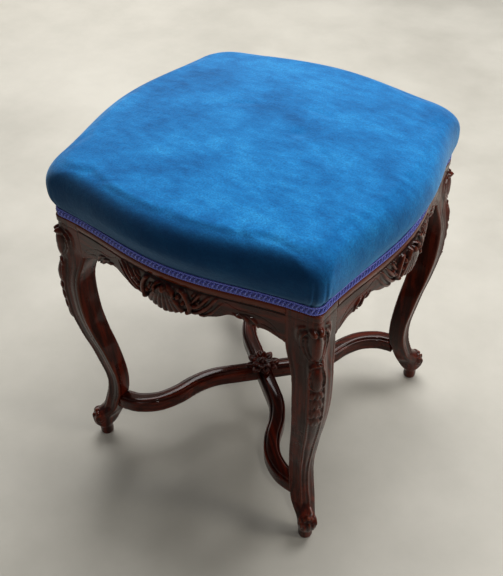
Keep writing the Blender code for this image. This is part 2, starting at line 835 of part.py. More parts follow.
def make_stuffing(top, cover_depth):
    """A closed pad between the hessian and the wadding."""
    clear = HESSIAN_THICKNESS + 2 * GAP
    bottom = inset_profile(HESSIAN_RINGS, -clear)
    bottom[0] = (bottom[0][0] + 0.003, TACKING_TOP + 2 * GAP, 0.0)
    top_middle = VELVET_MIDDLE - cover_depth - WADDING_THICKNESS - 2 * GAP
    bm = bmesh.new()
    upper = [ring_at(*ring, INNER_SIDE_POINTS) for ring in top]
    lower = [ring_at(*ring, INNER_SIDE_POINTS) for ring in bottom]
    add_loft(bm, upper, caps=False, middle=(0, 0, top_middle))
    add_loft(bm, lower, caps=False, middle=(0, 0, HESSIAN_MIDDLE + clear))
    bmesh.ops.bridge_loops(bm, edges=[e for e in bm.edges if e.is_boundary])
    add_piece("stuffing_pad", finish_mesh(bm, "stuffing_pad"), "horsehair")


def make_gimp():
    """A flat band round the lower edge of the velvet."""
    low, high = GIMP_Z
    inner, outer = GIMP_OFFSETS
    corners = ((inner, low), (outer, low), (outer, high), (inner, high))
    bm = bmesh.new()
    add_loft(bm, [ring_at(*corner) for corner in corners], closed=True)
    add_piece("gimp_braid", finish_mesh(bm, "gimp_braid"), "violet_gimp")


clear_scene()
PARTS = new_collection("piano_bench")
CUTTERS = new_collection("cutters")
MATERIALS = {name: make_material(name) for name in COLOURS}

holes = make_fastener_holes()
make_legs()
make_rails(holes)
for corner_name, corner_signs in CORNERS.items():
    make_corner_block(corner_name, corner_signs, holes)
make_fasteners()
for place_number, web_place in enumerate(WEB_PLACES, start=1):
    make_webbing(f"webbing_across_{place_number}", web_place, True, holes)
    make_webbing(f"webbing_lengthwise_{place_number}", web_place, False, holes)
make_dust_cover()
make_stretcher()
make_springs()
make_soft_layers()
make_gimp()
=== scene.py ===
"""Looks of the carved stool: polished walnut, blue velvet and a violet gimp braid.

Metres, +Z up. The origin is on the floor under the middle of the seat, and the front is at -Y.
"""

import math

import bmesh
import bpy
import numpy as np
from mathutils import Matrix, Vector


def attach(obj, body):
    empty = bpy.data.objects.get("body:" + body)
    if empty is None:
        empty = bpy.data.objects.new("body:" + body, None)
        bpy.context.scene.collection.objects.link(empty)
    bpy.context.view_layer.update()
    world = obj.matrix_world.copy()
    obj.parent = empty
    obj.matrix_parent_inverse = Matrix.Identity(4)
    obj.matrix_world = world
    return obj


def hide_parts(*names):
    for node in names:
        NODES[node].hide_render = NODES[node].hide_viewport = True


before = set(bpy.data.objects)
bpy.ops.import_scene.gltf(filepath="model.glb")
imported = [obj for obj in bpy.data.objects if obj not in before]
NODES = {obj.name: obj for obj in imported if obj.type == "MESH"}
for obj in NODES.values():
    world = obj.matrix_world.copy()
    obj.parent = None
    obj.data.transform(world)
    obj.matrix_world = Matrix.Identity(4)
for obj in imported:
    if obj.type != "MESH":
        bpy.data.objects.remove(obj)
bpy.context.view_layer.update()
ROOT_TWO = math.sqrt(2)
MM = 0.001

# Plan of the seat frame, as the solids have it.
CORNER_HALF = 0.21
SIDE_BULGE = 0.026
CORNER_RADIUS = 0.015
FRAME_TOP = 0.469
TACKING_TOP = 0.492
TACKING_SET_BACK = 0.004
TACKING_CORNER = 0.015
LEDGE_Z = 0.437
BAND_GROOVE_Z = 0.4565
BAND_LOWER_EDGE = 0.4585
BAND_PROUD = 0.001
RAIL_THICKNESS = 0.024
APRON_THICKNESS = 0.013
GAP = 0.0003

# Lower edge of a rail from its middle to its end: distance along the side, height.
APRON_EDGE = (
    (0.000, 0.407), (0.020, 0.411), (0.035, 0.417), (0.055, 0.416), (0.075, 0.422),
    (0.090, 0.431), (0.105, 0.430), (0.120, 0.422), (0.140, 0.421), (0.155, 0.414),
    (0.165, 0.408),
)

# Legs: the block, then height, outer faces, side and panel width down to the ankle.
LEG_BLOCK = 0.046
BLOCK_INNER = CORNER_HALF - LEG_BLOCK
LEG_FLARE = 0.0027
PANEL_CROWN = 0.3
LEG_EDGE = 0.0015
BLOCK_PANEL = 0.010
BLOCK_BOTTOM = 0.420
LEG_STATIONS = (
    (0.408, 0.2120, 0.0480, 0.012),
    (0.395, 0.2145, 0.0470, 0.018),
    (0.382, 0.2168, 0.0440, 0.021),
    (0.368, 0.2190, 0.0415, 0.022),
    (0.350, 0.2208, 0.0412, 0.022),
    (0.325, 0.2208, 0.0408, 0.022),
    (0.300, 0.2195, 0.0402, 0.022),
    (0.282, 0.2172, 0.0387, 0.020),
    (0.262, 0.2138, 0.0375, 0.019),
    (0.238, 0.2092, 0.0356, 0.017),
    (0.210, 0.2026, 0.0336, 0.016),
    (0.176, 0.1966, 0.0318, 0.014),
    (0.145, 0.1912, 0.0292, 0.013),
    (0.120, 0.1903, 0.0287, 0.012),
    (0.098, 0.1922, 0.0289, 0.012),
    (0.068, 0.1993, 0.0284, 0.013),
)
# Scroll foot: height, outer and inner distance along the diagonal, the same for its
# widest place, half width there, half width of the front.
FOOT_STATIONS = (
    (0.056, 0.2900, 0.2480, 0.2680, 0.0165, 0.0090),
    (0.049, 0.2975, 0.2515, 0.2760, 0.0145, 0.0110),
    (0.043, 0.3005, 0.2550, 0.2800, 0.0135, 0.0120),
    (0.033, 0.3005, 0.2600, 0.2820, 0.0130, 0.0125),
    (0.024, 0.2950, 0.2660, 0.2815, 0.0125, 0.0115),
)
PEG_RADIUS = 0.0112
PEG_DISTANCE = 0.2815
# Rounded peg under the scroll: height, radius.
PEG_STATIONS = ((0.0185, PEG_RADIUS), (0.004, PEG_RADIUS), (0.0012, 0.0104), (0.0, 0.0088))

# Stretcher.
ARM_BOTTOM = 0.071
ARM_PATH = (
    (-0.020, -0.018), (0.000, 0.000), (0.030, 0.027), (0.063, 0.058), (0.082, 0.090),
    (0.094, 0.124), (0.112, 0.153), (0.138, 0.172), (0.160, 0.178),
)
ARM_END_Y = 0.1785
# Half section of an arm: a square side, a bead and a quirk on its shoulder, and a nearly
# flat top. Out, up.
ARM_SECTION = (
    (0.0112, 0.0000), (0.0124, 0.0005), (0.0130, 0.0018), (0.0130, 0.0060), (0.0130, 0.0110),
    (0.0130, 0.0160), (0.0130, 0.0186), (0.0127, 0.0202), (0.0118, 0.0212), (0.0106, 0.0214),
    (0.0097, 0.0208), (0.0093, 0.0203), (0.0089, 0.0210), (0.0085, 0.0226), (0.0078, 0.0238),
    (0.0066, 0.0244), (0.0050, 0.0246), (0.0026, 0.0247), (0.0000, 0.0247),
)
ROSETTE_BASE = ARM_BOTTOM + 0.0247 + GAP
ROSETTE_TOP = 0.1105

# Gimp braid.
GIMP_Z = (0.4695, 0.4815)
GIMP_PITCH = 0.0062

CORNER_TURNS = {"back_right": 0, "back_left": 1, "front_left": 2, "front_right": 3}
CORNER_SIGNS = {
    "back_right": (1, 1), "back_left": (-1, 1), "front_left": (-1, -1), "front_right": (1, -1),
}
SIDE_TURNS = {"right": 0, "back": 1, "left": 2, "front": 3}


# ---------------------------------------------------------------- camera, lights and floor

# Camera: turn, tilt and roll in degrees, place in metres, focal length in millimetres.
CAMERA_TURNS = (32.81, 40.54, -1.16)
CAMERA_PLACE = (0.53371, -0.85863, 1.13580)
CAMERA_LENS = 51.74
# Soft lights: name, place, target, size, power in watts, colour.
LIGHTS = (
    ("skylight", (-0.1, 1.2, 3.0), (0, 0, 0.45), (3.0, 2.0), 145, (0.99, 0.99, 1.0)),
    ("wall", (-2.3, 1.7, 1.1), (0, 0, 0.05), (2.0, 1.6), 24, (1.0, 0.97, 0.93)),
    ("right_rim", (2.7, 0.7, 1.2), (0, 0, 0.35), (0.6, 1.5), 26, (1.0, 0.96, 0.90)),
    ("glint", (1.3, -1.5, 2.5), (0, 0, 0.3), (0.14, 0.14), 9, (1.0, 0.98, 0.95)),
)
ROOM_STRENGTH = 0.19
FLOOR_SIZE = 14


def add_object(name, data):
    obj = bpy.data.objects.new(name, data)
    bpy.context.scene.collection.objects.link(obj)
    return obj


def make_camera():
    yaw, pitch, roll = (math.radians(angle) for angle in CAMERA_TURNS)
    right = Vector((math.cos(yaw), math.sin(yaw), 0))
    back = Vector((math.sin(yaw) * math.cos(pitch), -math.cos(yaw) * math.cos(pitch), math.sin(pitch)))
    up = back.cross(right)
    turned_right = math.cos(roll) * right + math.sin(roll) * up
    turned_up = -math.sin(roll) * right + math.cos(roll) * up
    camera = add_object("camera", bpy.data.cameras.new("camera"))
    camera.data.lens = CAMERA_LENS
    rows = [[turned_right[i], turned_up[i], back[i], CAMERA_PLACE[i]] for i in range(3)]
    camera.matrix_world = Matrix(rows + [[0, 0, 0, 1]])
    bpy.context.scene.camera = camera


def add_area_light(name, place, target, size, power, colour):
    light = bpy.data.lights.new(name, "AREA")
    light.shape = "RECTANGLE"
    light.size, light.size_y = size
    light.energy = power
    light.color = colour
    obj = add_object(name, light)
    obj.location = place
    obj.rotation_euler = (Vector(target) - Vector(place)).to_track_quat("-Z", "Y").to_euler()


def make_lights():
    bpy.context.scene.view_settings.view_transform = "Standard"
    for light in LIGHTS:
        add_area_light(*light)
    world = bpy.context.scene.world or bpy.data.worlds.new("room")
    bpy.context.scene.world = world
    world.use_nodes = True
    background = next(node for node in world.node_tree.nodes if node.type == "BACKGROUND")
    background.inputs["Color"].default_value = (*linear("#d8dade"), 1)
    background.inputs["Strength"].default_value = ROOM_STRENGTH


def make_floor():
    bpy.ops.object.select_all(action="DESELECT")
    bpy.ops.mesh.primitive_plane_add(size=FLOOR_SIZE, location=(0, 0, 0))
    floor = bpy.context.object
    floor.name = "floor"
    floor.data.materials.append(make_sealed_concrete())


# ---------------------------------------------------------------- materials

NOISE = "ShaderNodeTexNoise"
WAVE = "ShaderNodeTexWave"
RANGE = "ShaderNodeMapRange"
RAMP = "ShaderNodeValToRGB"
MIX = "ShaderNodeMix"
MATH = "ShaderNodeMath"
BUMP = "ShaderNodeBump"
ATTRIBUTE = "ShaderNodeAttribute"
COLOURS = {"data_type": "RGBA"}
ADD_SCALED = {"operation": "MULTIPLY_ADD"}


def linear(hex_colour):
    """Linear RGB of an sRGB hex colour."""
    values = [int(hex_colour[i : i + 2], 16) / 255 for i in (1, 3, 5)]
    return tuple(v / 12.92 if v <= 0.04045 else ((v + 0.055) / 1.055) ** 2.4 for v in values)


def feed(tree, node, **inputs):
    """Sets a node's inputs. A key is the input's name, or n and its number. A value is a
    constant, a hex colour, or another node's output to link."""
    for key, value in inputs.items():
        by_number = key[0] == "n" and key[1:].isdigit()
        socket = node.inputs[int(key[1:]) if by_number else key.replace("_", " ")]
        if isinstance(value, bpy.types.NodeSocket):
            tree.links.new(value, socket)
        else:
            socket.default_value = (*linear(value), 1) if isinstance(value, str) else value


def add_node(tree, kind, settings=None, stops=(), output=0, **inputs):
    """Adds a node, with (place, hex colour) stops if it is a ramp, and returns one output."""
    node = tree.nodes.new(kind)
    for key, value in (settings or {}).items():
        setattr(node, key, value)
    feed(tree, node, **inputs)
    for number, (place, colour) in enumerate(stops):
        elements = node.color_ramp.elements
        element = elements[number] if number < 2 else elements.new(place)
        element.position = place
        element.color = (*linear(colour), 1)
    return node.outputs[output]


def start_material(name, **constants):
    """A material whose Principled shader has these constants on its own sockets."""
    material = bpy.data.materials.new(name)
    material.use_nodes = True
    tree = material.node_tree
    shader = tree.nodes["Principled BSDF"]
    feed(tree, shader, **constants)
    return material, tree, shader


def object_place(tree, scale=(1, 1, 1)):
    """Place on the piece in its own metres, for a pattern stretched by scale."""
    place = add_node(tree, "ShaderNodeTexCoord", output="Object")
    return add_node(tree, "ShaderNodeMapping", Vector=place, Scale=scale)


def make_polished_walnut():
    """French-polished walnut, stained very dark: deep red-brown grain under a clear gloss, nearly black in
    the carving's hollows, where old polish gathers and painted shade is added, and redder on the edges, as
    wear and a painted highlight."""
    material, tree, shader = start_material(
        "polished_walnut", IOR=1.45, Coat_Weight=0.45, Coat_Roughness=0.07, Coat_IOR=1.45,
        Specular_Tint="#ffc9a8", Specular_IOR_Level=0.12,
    )
    grain = add_node(tree, ATTRIBUTE, {"attribute_name": "grain"}, output="Vector")
    # Figure 9 mm wide and 0.14 m long, and pores 0.6 mm wide and 12 mm long.
    figure_place = add_node(tree, "ShaderNodeMapping", Vector=grain, Scale=(110, 110, 7))
    figure = add_node(tree, NOISE, Vector=figure_place, Scale=1.0, Detail=5.0, Roughness=0.6)
    pore_place = add_node(tree, "ShaderNodeMapping", Vector=grain, Scale=(1600, 1600, 80))
    pores = add_node(tree, NOISE, Vector=pore_place, Scale=1.0, Detail=2.0, Roughness=0.5)
    bands = ((0.30, "#170504"), (0.48, "#300c06"), (0.62, "#541607"), (0.80, "#220905"))
    wood = add_node(tree, RAMP, stops=bands, n0=figure)
    in_pore = add_node(tree, RANGE, n0=pores, n1=0.55, n2=0.75, n3=0.0, n4=0.55)
    wood = add_node(tree, MIX, COLOURS, output=2, n0=in_pore, n6=wood, n7="#100504")
    cavity = add_node(tree, ATTRIBUTE, {"attribute_name": "cavity"}, output="Fac")
    # Old polish and painted shade: the hollows of the carving are mixed towards near black.
    hollow = add_node(tree, RANGE, n0=cavity, n1=0.05, n2=0.6, n3=0.0, n4=0.9)
    wood = add_node(tree, MIX, COLOURS, output=2, n0=hollow, n6=wood, n7="#0a0403")
    # Wear and painted highlight: the edges of the carving are mixed towards a redder brown.
    worn_and_highlighted_edge = add_node(tree, RANGE, n0=cavity, n1=-0.15, n2=-0.8, n3=0.0, n4=0.55)
    wood = add_node(tree, MIX, COLOURS, output=2, n0=worn_and_highlighted_edge, n6=wood, n7="#6a2a10")
    smears = add_node(tree, NOISE, Vector=object_place(tree), Scale=45.0, Detail=3.0, Roughness=0.55)
    gloss = add_node(tree, RANGE, n0=smears, n1=0.3, n2=0.7, n3=0.24, n4=0.42)
    open_grain = add_node(tree, RANGE, n0=pores, n1=0.5, n2=0.8, n3=1.0, n4=0.0)
    bump = add_node(tree, BUMP, Height=open_grain, Distance=0.00012, Strength=0.5)
    feed(tree, shader, Base_Color=wood, Roughness=gloss, Normal=bump)
    return material


def make_blue_velvet():
    """Cotton velvet with a short cut pile: dark seen into the pile, pale sheen seen across it, with brushed
    patches where the pile leans another way, and painted shade on the side that faces the front."""
    material, tree, shader = start_material(
        "blue_velvet", Roughness=0.92, Sheen_Weight=0.48, Sheen_Roughness=0.42,
        Sheen_Tint="#a2cdee", Specular_IOR_Level=0.12,
    )
    place = object_place(tree)
    # Brushed patches 0.11 m wide, and streaks 26 mm long and 12 mm wide.
    patches = add_node(tree, NOISE, Vector=place, Scale=9.0, Detail=5.0, Roughness=0.62)
    stretched = object_place(tree, (1, 2.2, 1))
    streaks = add_node(tree, NOISE, Vector=stretched, Scale=38.0, Detail=4.0, Roughness=0.6)
    # Tufts 2.4 mm wide, coarser than the real pile so that they show.
    tufts = add_node(tree, NOISE, Vector=place, Scale=420.0, Detail=2.0, Roughness=0.7)
    brushed = add_node(tree, MATH, ADD_SCALED, n0=streaks, n1=0.55, n2=patches)
    blues = ((0.52, "#034a80"), (0.70, "#06609c"), (0.84, "#0c70ae"), (1.0, "#1b82be"))
    colour = add_node(tree, RAMP, stops=blues, n0=brushed)
    in_tuft = add_node(tree, RANGE, n0=tufts, n1=0.35, n2=0.7, n3=0.0, n4=0.6)
    colour = add_node(tree, MIX, COLOURS, output=2, n0=in_tuft, n6=colour, n7="#02406f")
    # Painted shade: the side that faces the front is mixed towards a deep navy, as far as it faces the front.
    front_shade = add_node(tree, ATTRIBUTE, {"attribute_name": "front_shade"}, output="Fac")
    painted_front_shade = add_node(tree, RANGE, n0=front_shade, n1=0.12, n2=0.85, n3=0.0, n4=0.80)
    colour = add_node(tree, MIX, COLOURS, output=2, n0=painted_front_shade, n6=colour, n7="#01203f")
    roughness = add_node(tree, RANGE, n0=brushed, n1=0.5, n2=0.95, n3=0.98, n4=0.80)
    clumps = add_node(tree, NOISE, Vector=place, Scale=120.0, Detail=3.0, Roughness=0.55)
    pile = add_node(tree, MATH, ADD_SCALED, n0=tufts, n1=0.6, n2=clumps)
    bump = add_node(tree, BUMP, Height=pile, Distance=0.0009, Strength=0.55)
    feed(tree, shader, Base_Color=colour, Roughness=roughness, Normal=bump)
    return material


def make_rayon_gimp(name, light, dark):
    """Woven rayon cord over cotton: fine diagonal ply with a silky glint."""
    material, tree, shader = start_material(
        name, Roughness=0.42, Sheen_Weight=0.25, Sheen_Roughness=0.3, Specular_IOR_Level=0.6
    )
    ply = add_node(tree, ATTRIBUTE, {"attribute_name": "ply"}, output="Fac")
    wave = add_node(tree, MATH, {"operation": "SINE"}, n0=ply)
    speckle = add_node(tree, NOISE, Vector=object_place(tree), Scale=900.0, Detail=1.0, Roughness=0.55)
    shade = add_node(tree, MATH, ADD_SCALED, n0=wave, n1=0.25, n2=speckle)
    colour = add_node(tree, RAMP, stops=((0.25, dark), (0.75, light)), n0=shade)
    bump = add_node(tree, BUMP, Height=wave, Distance=0.00012, Strength=0.8)
    feed(tree, shader, Base_Color=colour, Normal=bump)
    return material


def make_woven(name, dark, light, thread, roughness=0.9):
    """Plain weave: two crossed sets of threads, one thread spacing apart in metres."""
    material, tree, shader = start_material(name, Roughness=roughness, Specular_IOR_Level=0.2)
    # One band of a Wave texture is a twentieth of its scale's unit.
    scale = math.tau / thread / 20
    warp, weft = (
        add_node(tree, WAVE, {"wave_type": "BANDS", "bands_direction": direction}, output="Fac",
                 Vector=object_place(tree), Scale=scale, Distortion=0.6)
        for direction in "XY"
    )
    weave = add_node(tree, MATH, {"operation": "MAXIMUM"}, n0=warp, n1=weft)
    slubs = add_node(tree, NOISE, Vector=object_place(tree), Scale=160.0, Detail=4.0, Roughness=0.55)
    tone = add_node(tree, MATH, {"operation": "MULTIPLY"}, n0=weave, n1=slubs)
    colour = add_node(tree, RAMP, stops=((0.1, dark), (0.65, light)), n0=tone)
    bump = add_node(tree, BUMP, Height=weave, Distance=thread * 0.3, Strength=0.7)
    feed(tree, shader, Base_Color=colour, Normal=bump)
    return material


def make_fibre(name, dark, light, size, depth):
    """Loose fibre in a mat, such as curled hair or carded cotton, size metres across a lock."""
    material, tree, shader = start_material(
        name, Roughness=0.95, Sheen_Weight=0.2, Specular_IOR_Level=0.15
    )
    locks = add_node(tree, NOISE, Vector=object_place(tree), Scale=1 / size, Detail=8.0, Roughness=0.7)
    colour = add_node(tree, RAMP, stops=((0.35, dark), (0.65, light)), n0=locks)
    bump = add_node(tree, BUMP, Height=locks, Distance=depth, Strength=0.8)
    feed(tree, shader, Base_Color=colour, Normal=bump)
    return material


def make_raw_beech():
    """Planed beech, unfinished: pale pinkish brown with short dark flecks along the grain."""
    material, tree, shader = start_material("raw_beech", Roughness=0.62, IOR=1.5)
    # Flecks 1.1 mm wide and 8 mm long.
    place = object_place(tree, (900, 900, 120))
    flecks = add_node(tree, NOISE, Vector=place, Scale=1.0, Detail=3.0, Roughness=0.55)
    colour = add_node(tree, RAMP, stops=((0.35, "#8c6a48"), (0.6, "#c19b72")), n0=flecks)
    bump = add_node(tree, BUMP, Height=flecks, Distance=0.0001, Strength=0.5)
    feed(tree, shader, Base_Color=colour, Normal=bump)
    return material


def make_steel(name, dark, light, roughness):
    """Drawn or blued steel: metal with fine die lines and patches of tarnish."""
    material, tree, shader = start_material(name, Metallic=1.0)
    tarnish = add_node(tree, NOISE, Vector=object_place(tree), Scale=260.0, Detail=5.0, Roughness=0.55)
    # Die lines 0.25 mm apart and 3 mm long.
    place = object_place(tree, (4000, 4000, 300))
    lines = add_node(tree, NOISE, Vector=place, Scale=1.0, Detail=2.0, Roughness=0.55)
    colour = add_node(tree, RAMP, stops=((0.35, dark), (0.65, light)), n0=tarnish)
    low, high = roughness
    dulled = add_node(tree, RANGE, n0=tarnish, n1=0.3, n2=0.7, n3=high, n4=low)
    bump = add_node(tree, BUMP, Height=lines, Distance=0.00004, Strength=0.4)
    feed(tree, shader, Base_Color=colour, Roughness=dulled, Normal=bump)
    return material


def make_sealed_concrete():
    """Power-floated concrete under a worn clear seal: pale grey-buff with soft clouds."""
    material, tree, shader = start_material("sealed_concrete", IOR=1.5, Specular_IOR_Level=0.35)
    # Clouds 0.45 m across, and a fine texture of 17 mm.
    clouds = add_node(tree, NOISE, Vector=object_place(tree), Scale=2.2, Detail=6.0, Roughness=0.6)
    fine = add_node(tree, NOISE, Vector=object_place(tree), Scale=60.0, Detail=5.0, Roughness=0.55)
    colour = add_node(tree, RAMP, stops=((0.35, "#a8a499"), (0.65, "#bbb7ac")), n0=clouds)
    worn = add_node(tree, RANGE, n0=clouds, n1=0.3, n2=0.7, n3=0.55, n4=0.70)
    bump = add_node(tree, BUMP, Height=fine, Distance=0.0004, Strength=0.25)
    feed(tree, shader, Base_Color=colour, Roughness=worn, Normal=bump)
    return material


# ---------------------------------------------------------------- mesh helpers


def only(obj):
    """Selects one object and nothing else."""
    bpy.ops.object.select_all(action="DESELECT")
    obj.select_set(True)
    bpy.context.view_layer.objects.active = obj


def add_mesh(name, points, faces):
    mesh = bpy.data.meshes.new(name)
    mesh.from_pydata(points.tolist(), [], faces)
    return add_object(name, mesh)


def add_ball(name, segments, rings):
    """A ball of radius 1 at the origin, to be shaped and placed in its mesh."""
    bpy.ops.object.select_all(action="DESELECT")
    bpy.ops.mesh.primitive_uv_sphere_add(segments=segments, ring_count=rings, radius=1)
    ball = bpy.context.object
    ball.name = name
    return ball


def skin(name, rings, caps=True, closed=False):
    """Skins equal closed rings, an array (ring, point, 3), into one shell."""
    rows, count = rings.shape[:2]
    index = np.arange(rows * count).reshape(rows, count)
    low, high = (index, np.roll(index, -1, 0)) if closed else (index[:-1], index[1:])
    quads = np.stack([low, np.roll(low, -1, 1), np.roll(high, -1, 1), high], axis=-1)
    faces = quads.reshape(-1, 4).tolist()
    if caps and not closed:
        faces += [index[0][::-1].tolist(), index[-1].tolist()]
    obj = add_mesh(name, rings.reshape(-1, 3), faces)
    point_outwards(obj)
    return obj


def point_outwards(obj):
    only(obj)
    bpy.ops.object.mode_set(mode="EDIT")
    bpy.ops.mesh.select_all(action="SELECT")
    bpy.ops.mesh.normals_make_consistent(inside=False)
    bpy.ops.object.mode_set(mode="OBJECT")


def apply_modifier(obj, name, kind, **settings):
    modifier = obj.modifiers.new(name, kind)
    for key, value in settings.items():
        setattr(modifier, key, value)
    only(obj)
    bpy.ops.object.modifier_apply(modifier=name)


def join(target, others):
    bpy.ops.object.select_all(action="DESELECT")
    for obj in others:
        obj.select_set(True)
    target.select_set(True)
    bpy.context.view_layer.objects.active = target
    bpy.ops.object.join()
    return target


def smooth_faces(obj, degrees=None):
    only(obj)
    if degrees is None:
        bpy.ops.object.shade_smooth()
    else:
        bpy.ops.object.shade_smooth_by_angle(angle=math.radians(degrees))


def vertex_values(obj, key):
    values = np.empty(len(obj.data.vertices) * 3)
    obj.data.vertices.foreach_get(key, values)
    return values.reshape(-1, 3)


def points_of(obj):
    return vertex_values(obj, "co")


def normals_of(obj):
    return vertex_values(obj, "normal")


def set_points(obj, points):
    obj.data.vertices.foreach_set("co", np.ascontiguousarray(points, dtype=np.float32).ravel())
    obj.data.update()


def write_attribute(obj, name, values, kind="FLOAT"):
    attribute = obj.data.attributes.new(name, kind, "POINT")
    key = "vector" if kind == "FLOAT_VECTOR" else "value"
    attribute.data.foreach_set(key, np.ascontiguousarray(values, dtype=np.float32).ravel())


# The walnut paints shade into the hollows and a highlight on the edges from this attribute.
def write_cavity(obj, size, spread=4):
    """Attribute cavity: above 0 in hollows, below 0 on edges; 1 for a hollow of size metres."""
    mesh = obj.data
    points, normals = points_of(obj), normals_of(obj)
    edges = np.empty(len(mesh.edges) * 2, dtype=np.int32)
    mesh.edges.foreach_get("vertices", edges)
    first, second = edges.reshape(-1, 2).T
    count = np.bincount(first, minlength=len(points)) + np.bincount(second, minlength=len(points))

    def neighbour_mean(values):
        columns = []
        for column in values.T:
            total = np.bincount(first, column[second], len(points))
            total += np.bincount(second, column[first], len(points))
            columns.append(total / np.maximum(count, 1))
        return np.array(columns).T

    blurred = points
    for _ in range(spread):
        blurred = neighbour_mean(blurred)
    hollow = ((blurred - points) * normals).sum(1)[:, None]
    for _ in range(2):
        hollow = neighbour_mean(hollow)
    write_attribute(obj, "cavity", np.clip(hollow[:, 0] / size, -1, 1))


def copy_turned(obj, name, matrix, grain_shift):
    """A copy with its own mesh, turned in its mesh, whose grain is another stretch of wood."""
    copy = add_object(name, obj.data.copy())
    copy.data.transform(matrix)
    if matrix.determinant() < 0:
        copy.data.flip_normals()
    grain = copy.data.attributes["grain"].data
    values = np.empty(len(grain) * 3, dtype=np.float32)
    grain.foreach_get("vector", values)
    grain.foreach_set("vector", values + np.float32(grain_shift))
    return copy


def place_piece(obj, material, slot_name, *nodes):
    """Gives a finished piece its material and its place in the frame."""
    obj.data.materials.clear()
    obj.data.materials.append(material)
    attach(obj, "root")
    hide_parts(*nodes)


def softened(heights, spread, table_x, table_y):
    """Values of a table at heights, rounded over spread on each side."""
    total = 0
    for share in np.linspace(-1, 1, 9):
        total = total + np.interp(heights + share * spread, table_x, table_y)
    return total / 9


def side_distance(along, extra_bulge=0.0):
    """How far a side of the frame stands from the centre, at a distance along it."""
    return CORNER_HALF + (SIDE_BULGE + extra_bulge) * (1 + np.cos(math.pi * along / CORNER_HALF)) / 2


def all_round(plan):
    """Points or directions of one side's plan, then the same for the other three sides."""
    turns = ((1, 0), (0, 1), (-1, 0), (0, -1))
    return np.concatenate([plan @ np.array([[c, s], [-s, c]]) for c, s in turns])


def outline(side_points, corner_points, grow=0.0, extra_bulge=0.0, radius=CORNER_RADIUS):
    """Closed plan outline of the seat frame, or of one that is grown or has other corners:
    points, then outward normals."""
    half, bulge = CORNER_HALF + grow, SIDE_BULGE + extra_bulge
    straight = half - radius
    along = np.linspace(-straight, straight, side_points, endpoint=False)
    wave = math.pi * along / half
    side = np.stack([half + bulge * (1 + np.cos(wave)) / 2, along], 1)
    slope = -bulge * math.pi / half * np.sin(wave) / 2
    side_normals = np.stack([np.ones_like(along), -slope], 1)
    turn = np.linspace(0, math.pi / 2, corner_points, endpoint=False)
    arc_normals = np.stack([np.cos(turn), np.sin(turn)], 1)
    lean = bulge * (1 + math.cos(math.pi * straight / half)) / 2
    arc = straight + radius * arc_normals + lean * np.stack([np.cos(turn) ** 2, np.sin(turn) ** 2], 1)
    points = np.concatenate([side, arc])
    normals = np.concatenate([side_normals, arc_normals])
    normals /= np.linalg.norm(normals, axis=1)[:, None]
    return all_round(points), all_round(normals)


# ---------------------------------------------------------------- carving


def smooth_curve(points, steps=10):
    """Catmull-Rom curve through the points, as an array."""
    points = np.array(points, dtype=float)
    padded = np.concatenate([[2 * points[0] - points[1]], points, [2 * points[-1] - points[-2]]])
    pieces = []
    for i in range(len(points) - 1):
        p0, p1, p2, p3 = padded[i : i + 4]
        t = np.linspace(0, 1, steps, endpoint=False)[:, None]
        square, cube = 2 * p0 - 5 * p1 + 4 * p2 - p3, 3 * p1 - p0 - 3 * p2 + p3
        pieces.append(0.5 * (2 * p1 + (p2 - p0) * t + square * t**2 + cube * t**3))
    return np.concatenate(pieces + [points[-1:]])


class Relief:
    """Carving on a face, as a height at each of its points. Sizes are in millimetres."""

    def __init__(self, across, height):
        self.across = across / MM
        self.height = height / MM
        self.out = np.zeros_like(self.across)

    def ridge(self, points, width, rise, vein=0.0, blunt=0.55):
        """A leaf or bead line along a smooth curve. width and rise are (start, end)."""
        path = smooth_curve(points)
        share = np.linspace(0, 1, len(path))
        taper = np.sin(math.pi * (0.08 + 0.84 * share)) ** blunt
        widths = np.interp(share, np.linspace(0, 1, len(width)), width) * taper
        rises = np.interp(share, np.linspace(0, 1, len(rise)), rise) * taper
        best = np.zeros_like(self.out)
        for (x, y), half, top in zip(path, widths, rises):
            near = np.hypot(self.across - x, self.height - y) / max(half, 0.1)
            body = np.sqrt(np.clip(1 - near**2, 0, None)) - vein * np.exp(-((near / 0.3) ** 2))
            best = np.maximum(best, top * body)
        self.out = np.maximum(self.out, best)

    def knob(self, x, y, half_width, half_height, rise):
        near = ((self.across - x) / half_width) ** 2 + ((self.height - y) / half_height) ** 2
        self.out = np.maximum(self.out, rise * np.sqrt(np.clip(1 - near, 0, None)))

    def groove(self, points, width, depth):
        path = smooth_curve(points)
        near = np.min([np.hypot(self.across - x, self.height - y) for x, y in path], axis=0)
        self.out = self.out - depth * np.exp(-((near / width) ** 2))

    def ground(self, x, y, half_width, half_height, rise):
        """A soft swelling under the carving."""
        near = ((self.across - x) / half_width) ** 2 + ((self.height - y) / half_height) ** 2
        self.out = self.out + rise * np.exp(-(near**2))


